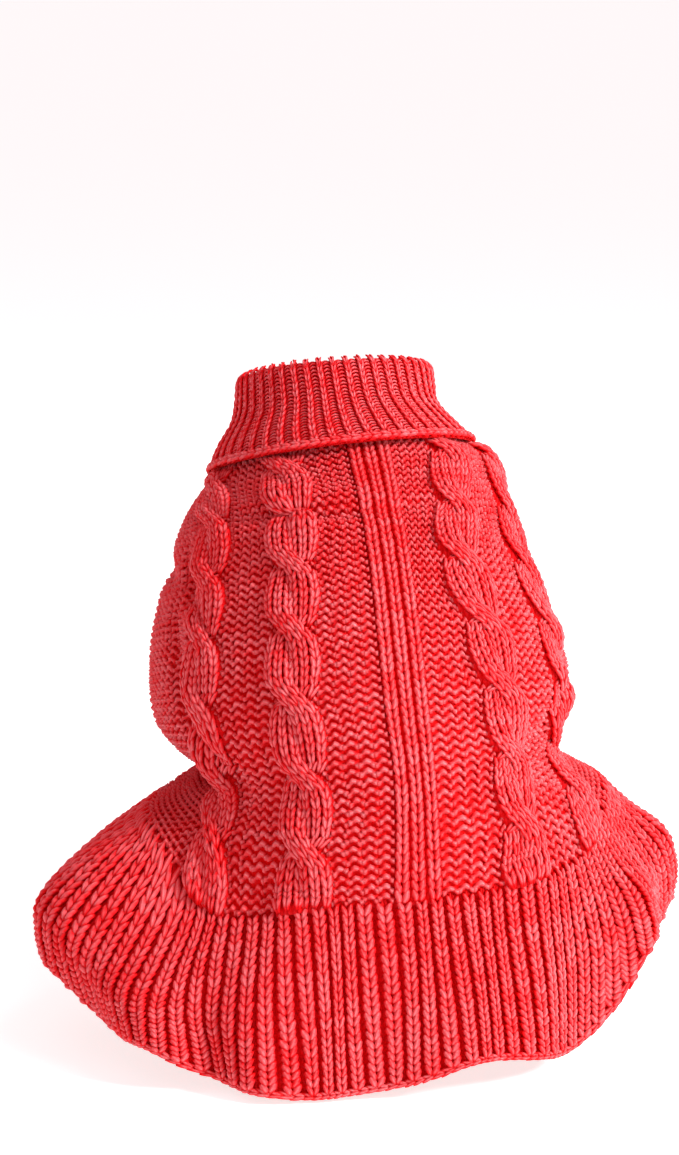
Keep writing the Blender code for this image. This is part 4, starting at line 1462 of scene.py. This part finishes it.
@dataclass
class Collar(KnitPiece):
    """The turtleneck: one ribbed strip, folded over, bound off along its lower edge."""

    form: CollarForm = CollarForm()
    wall: float = 1.5
    row: float = 2.9
    rung_row: float = 1.46
    crest_rise: float = 0.35
    rung_rise: float = -0.35
    wale_share: float = 0.46
    rung_share: float = 0.66
    wave: float = 0.5
    ground_depth: float = 0.6
    rows_per_step: float = 3.0
    path_samples: int = 400
    knit_margins: tuple[float, float] = (0.2, 0.15)
    rung_margins: tuple[float, float] = (0.6, 0.2)
    edge_links: int = 84
    edge_rise: float = 0.5
    edge_inset: float = 0.12
    edge_reach: float = 0.36
    steps: int = 6
    cloth_rows: int = 42
    knit: Stitch = Stitch(StitchKind.KNIT, 2.9, 2.9, 0.62)
    rung: Stitch = Stitch(StitchKind.RUNG, 3.6, 1.46, 0.52)
    edge: Stitch = Stitch(StitchKind.KNIT, 3.4, 4.6, 1.0)

    def even_rows(self, row: float, margins: tuple[float, float]) -> Array:
        """Path positions one row apart by length.

        Args:
            row: The row's height in millimetres.
            margins: How far from the path's start and from its end they keep.

        Returns:
            The positions.
        """
        last = len(COLLAR_PATH.rows) - 1.0
        fine = np.linspace(margins[0], last - margins[1], self.path_samples)
        line = self.form.surface(fine, np.zeros_like(fine))
        walked = np.concatenate([[0.0], np.cumsum(np.linalg.norm(np.diff(line, axis=0), axis=1))])
        count = int(walked[-1] / row)
        return np.interp((np.arange(count) + 0.5) / count * walked[-1], walked, fine)

    def places(self, along: Array, angle: Array, height: float, wide: float, stitch: Stitch) -> Places:
        """Stitches on the strip.

        Args:
            along: Path positions of the rows.
            angle: Angles of the wales.
            height: How far they stand off the strip.
            wide: The angle that one stitch spans.
            stitch: What they are knitted with.

        Returns:
            Their places, as tall as the rows are apart.
        """
        at, turn = grid(along, angle)
        gap = np.gradient(along)[:, None]
        places = Places.on(self.form.raised(height), at, turn, gap, wide, stitch)
        places.size[:, 2] = 1.0
        return places

    def build(self) -> None:
        form = self.form
        pitch = 360.0 / form.ribs
        last = len(COLLAR_PATH.rows) - 1.0
        columns = np.arange(form.ribs * self.steps) * 360.0 / (form.ribs * self.steps)
        along, angle = grid(np.linspace(0.0, last, self.cloth_rows + 1), columns)
        wave = -np.cos(2 * np.pi * angle / pitch)
        outer = form.offset(along, angle, wave * self.wave - self.ground_depth)
        inner = form.offset(along, angle, np.full(angle.shape, -self.wall))
        knit = np.stack([angle / pitch * 2.0 + 0.5, along * self.rows_per_step], axis=-1)
        cloth = cloth_object("collar_cloth", outer, inner, knit, around=True)
        crests = (np.arange(form.ribs) + 0.5) * pitch
        rows = self.even_rows(self.row, self.knit_margins)
        rungs = self.even_rows(self.rung_row, self.rung_margins)
        places = self.places(rows, crests, self.crest_rise, pitch * self.wale_share, self.knit)
        bars = self.places(rungs, crests + 0.5 * pitch, self.rung_rise, pitch * self.rung_share, self.rung)
        links = (np.arange(self.edge_links) + 0.5) * 360.0 / self.edge_links
        rim = form.rim(self.edge_rise)
        pieces = [
            StitchPlanter(seed=3).plant("collar_knit", places, self.knit),
            StitchPlanter(seed=4).plant("collar_rungs", bars, self.rung),
            self.bind_off(rim, links, last - self.edge_inset, self.edge, self.edge_reach, 9),
        ]
        self.declare(cloth, pieces, "stretched")


@dataclass
class Cuff(KnitPiece):
    """One armhole cuff: a short 1x1 rib tube with a bound-off end."""

    form: CuffForm
    wall: float = 1.8
    rows: int = 9
    steps: int = 6
    cloth_rows: int = 14
    wave: float = 0.6
    wave_growth: float = 3.0
    inner_wave: float = 0.4
    ground_depth: float = 0.5
    crest_rise: float = 0.5
    wale_share: float = 0.8
    knit_reach: float = 0.97
    edge_rise: float = 0.1
    edge_at: float = 0.96
    edge_reach: float = 0.1
    knit: Stitch = Stitch(StitchKind.KNIT, 4.6, 3.2, 1.1)
    edge: Stitch = Stitch(StitchKind.KNIT, 3.0, 4.4, 0.85)

    def build(self) -> None:
        form = self.form
        pitch = 360.0 / form.ribs
        columns = np.arange(form.ribs * self.steps) * 360.0 / (form.ribs * self.steps)
        along, angle = grid(np.linspace(0.0, 1.0, self.cloth_rows + 1), columns)
        growth = smooth_step(along * self.wave_growth)
        wave = -np.cos(2 * np.pi * angle / pitch) * self.wave * growth
        outer = form.offset(along, angle, wave - self.ground_depth)
        inner = form.offset(along, angle, wave * self.inner_wave - self.wall)
        knit = np.stack([angle / pitch * 2.0 + 0.5, along * self.rows], axis=-1)
        cloth = cloth_object(self.node + "_cloth", outer, inner, knit, around=True)
        crests = (np.arange(form.ribs) + 0.5) * pitch
        along, angle = grid((np.arange(self.rows) + 0.5) / self.rows * self.knit_reach, crests)
        face = form.raised(self.crest_rise)
        places = Places.on(face, along, angle, 1.0 / self.rows, pitch * self.wale_share, self.knit)
        links = (np.arange(form.ribs * 2) + 0.5) * 0.5 * pitch
        rim = form.rim(self.edge_rise)
        pieces = [
            StitchPlanter(seed=13).plant(self.node + "_stitches", places, self.knit),
            self.bind_off(rim, links, self.edge_at, self.edge, self.edge_reach, 14),
        ]
        self.declare(cloth, pieces, "stretched")


# ---- Studio --------------------------------------------------------------------------------------


def aimed(place: Point, aim: Point) -> Matrix:
    """Where a lamp or camera is that stands at one point and looks at another."""
    look = Vector(aim) - Vector(place)
    return Matrix.Translation(place) @ look.to_track_quat("-Z", "Y").to_matrix().to_4x4()


@dataclass(frozen=True)
class Lamp:
    """A soft square light."""

    name: str
    place: Point
    side: float
    power: float
    aim: Point = (0.0, -0.09, -0.09)

    def hang(self) -> None:
        """Adds the light to the scene."""
        data = bpy.data.lights.new(self.name, "AREA")
        data.energy = self.power
        data.size = self.side
        lamp = bpy.data.objects.new(self.name, data)
        bpy.context.scene.collection.objects.link(lamp)
        lamp.matrix_world = aimed(self.place, self.aim)


@dataclass(frozen=True)
class Studio:
    """A pale floor, soft light from the right, and the camera behind the wearer."""

    floor_z: float = -0.2175
    floor_side: float = 240.0
    floor_colour: Colour = (0.95, 0.95, 0.95)
    floor_roughness: float = 0.9
    sky: float = 0.60
    sky_seen: float = 1.0
    floor_glow: float = 0.70
    glow_colour: Colour = (0.62, 1.0, 0.98)
    sky_colour: Colour = (1.0, 0.42, 0.46)
    seen_colour: Colour = (1.0, 1.0, 1.0)
    camera_place: Point = (-0.20304, -1.24148, 0.17994)
    camera_aim: Point = (-0.01345, -0.07765, -0.04744)
    lens: float = 97.15
    sensor: float = 36.0
    lamps: tuple[Lamp, ...] = (
        Lamp("key", (1.20, -1.05, 0.80), 0.35, 32.0),
        Lamp("fill", (0.3, -1.7, 0.3), 1.0, 1.5),
        Lamp("top", (0.5, -0.3, 1.4), 0.6, 4.0),
        Lamp("front", (0.4, 1.5, 0.5), 1.2, 5.0),
    )

    def floor(self) -> None:
        """Lays the floor."""
        half = 0.5 * self.floor_side
        mesh = bpy.data.meshes.new("floor")
        corners = [(-half, -half), (half, -half), (half, half), (-half, half)]
        mesh.from_pydata([(x, y, self.floor_z) for x, y in corners], [], [(0, 1, 2, 3)])
        material = bpy.data.materials.new("pale_floor")
        material.use_nodes = True
        surface = material.node_tree.nodes["Principled BSDF"]
        surface.inputs["Base Color"].default_value = rgba(self.floor_colour)
        surface.inputs["Roughness"].default_value = self.floor_roughness
        surface.inputs["Emission Color"].default_value = rgba(self.glow_colour)
        surface.inputs["Emission Strength"].default_value = self.floor_glow
        mesh.materials.append(material)
        floor = bpy.data.objects.new("floor", mesh)
        bpy.context.scene.collection.objects.link(floor)

    def camera(self) -> None:
        """Sets up the camera."""
        data = bpy.data.cameras.new("camera")
        data.lens = self.lens
        data.sensor_width = self.sensor
        data.sensor_fit = "AUTO"
        camera = bpy.data.objects.new("camera", data)
        bpy.context.scene.collection.objects.link(camera)
        camera.matrix_world = aimed(self.camera_place, self.camera_aim)
        bpy.context.scene.camera = camera

    def build(self) -> None:
        """Sets the whole stage."""
        world = bpy.data.worlds.new("studio")
        world.use_nodes = True
        background = world.node_tree.nodes["Background"]
        bench = Bench(world.node_tree)
        seen = Wire(bench, bench.node("ShaderNodeLightPath").outputs["Is Camera Ray"])
        strength = seen * (self.sky_seen - self.sky) + self.sky
        colour = bench.blend(seen, rgba(self.sky_colour), rgba(self.seen_colour))
        world.node_tree.links.new(strength.socket, background.inputs["Strength"])
        world.node_tree.links.new(colour, background.inputs["Color"])
        bpy.context.scene.world = world
        bpy.context.scene.view_settings.view_transform = "Standard"
        for lamp in self.lamps:
            lamp.hang()
        self.floor()
        self.camera()


def main() -> None:
    """Dresses every piece and sets the stage."""
    logging.basicConfig(level=logging.INFO, format="%(message)s")
    Studio().build()
    YARN.material()
    GROUND.material()
    body = BodyForm()
    BackPanel("back_panel", 400.0, 230.0, BackKnitting(body)).build()
    BellyPanel("belly_panel", 130.0, 225.0, body).build()
    Skirt("skirt", 480.0, 72.0).build()
    Collar("collar", 320.0, 70.0).build()
    Cuff("cuff_left", 160.0, 32.0, CuffForm(body, -1.0)).build()
    Cuff("cuff_right", 160.0, 32.0, CuffForm(body, 1.0)).build()


if __name__ == "__main__":
    main()
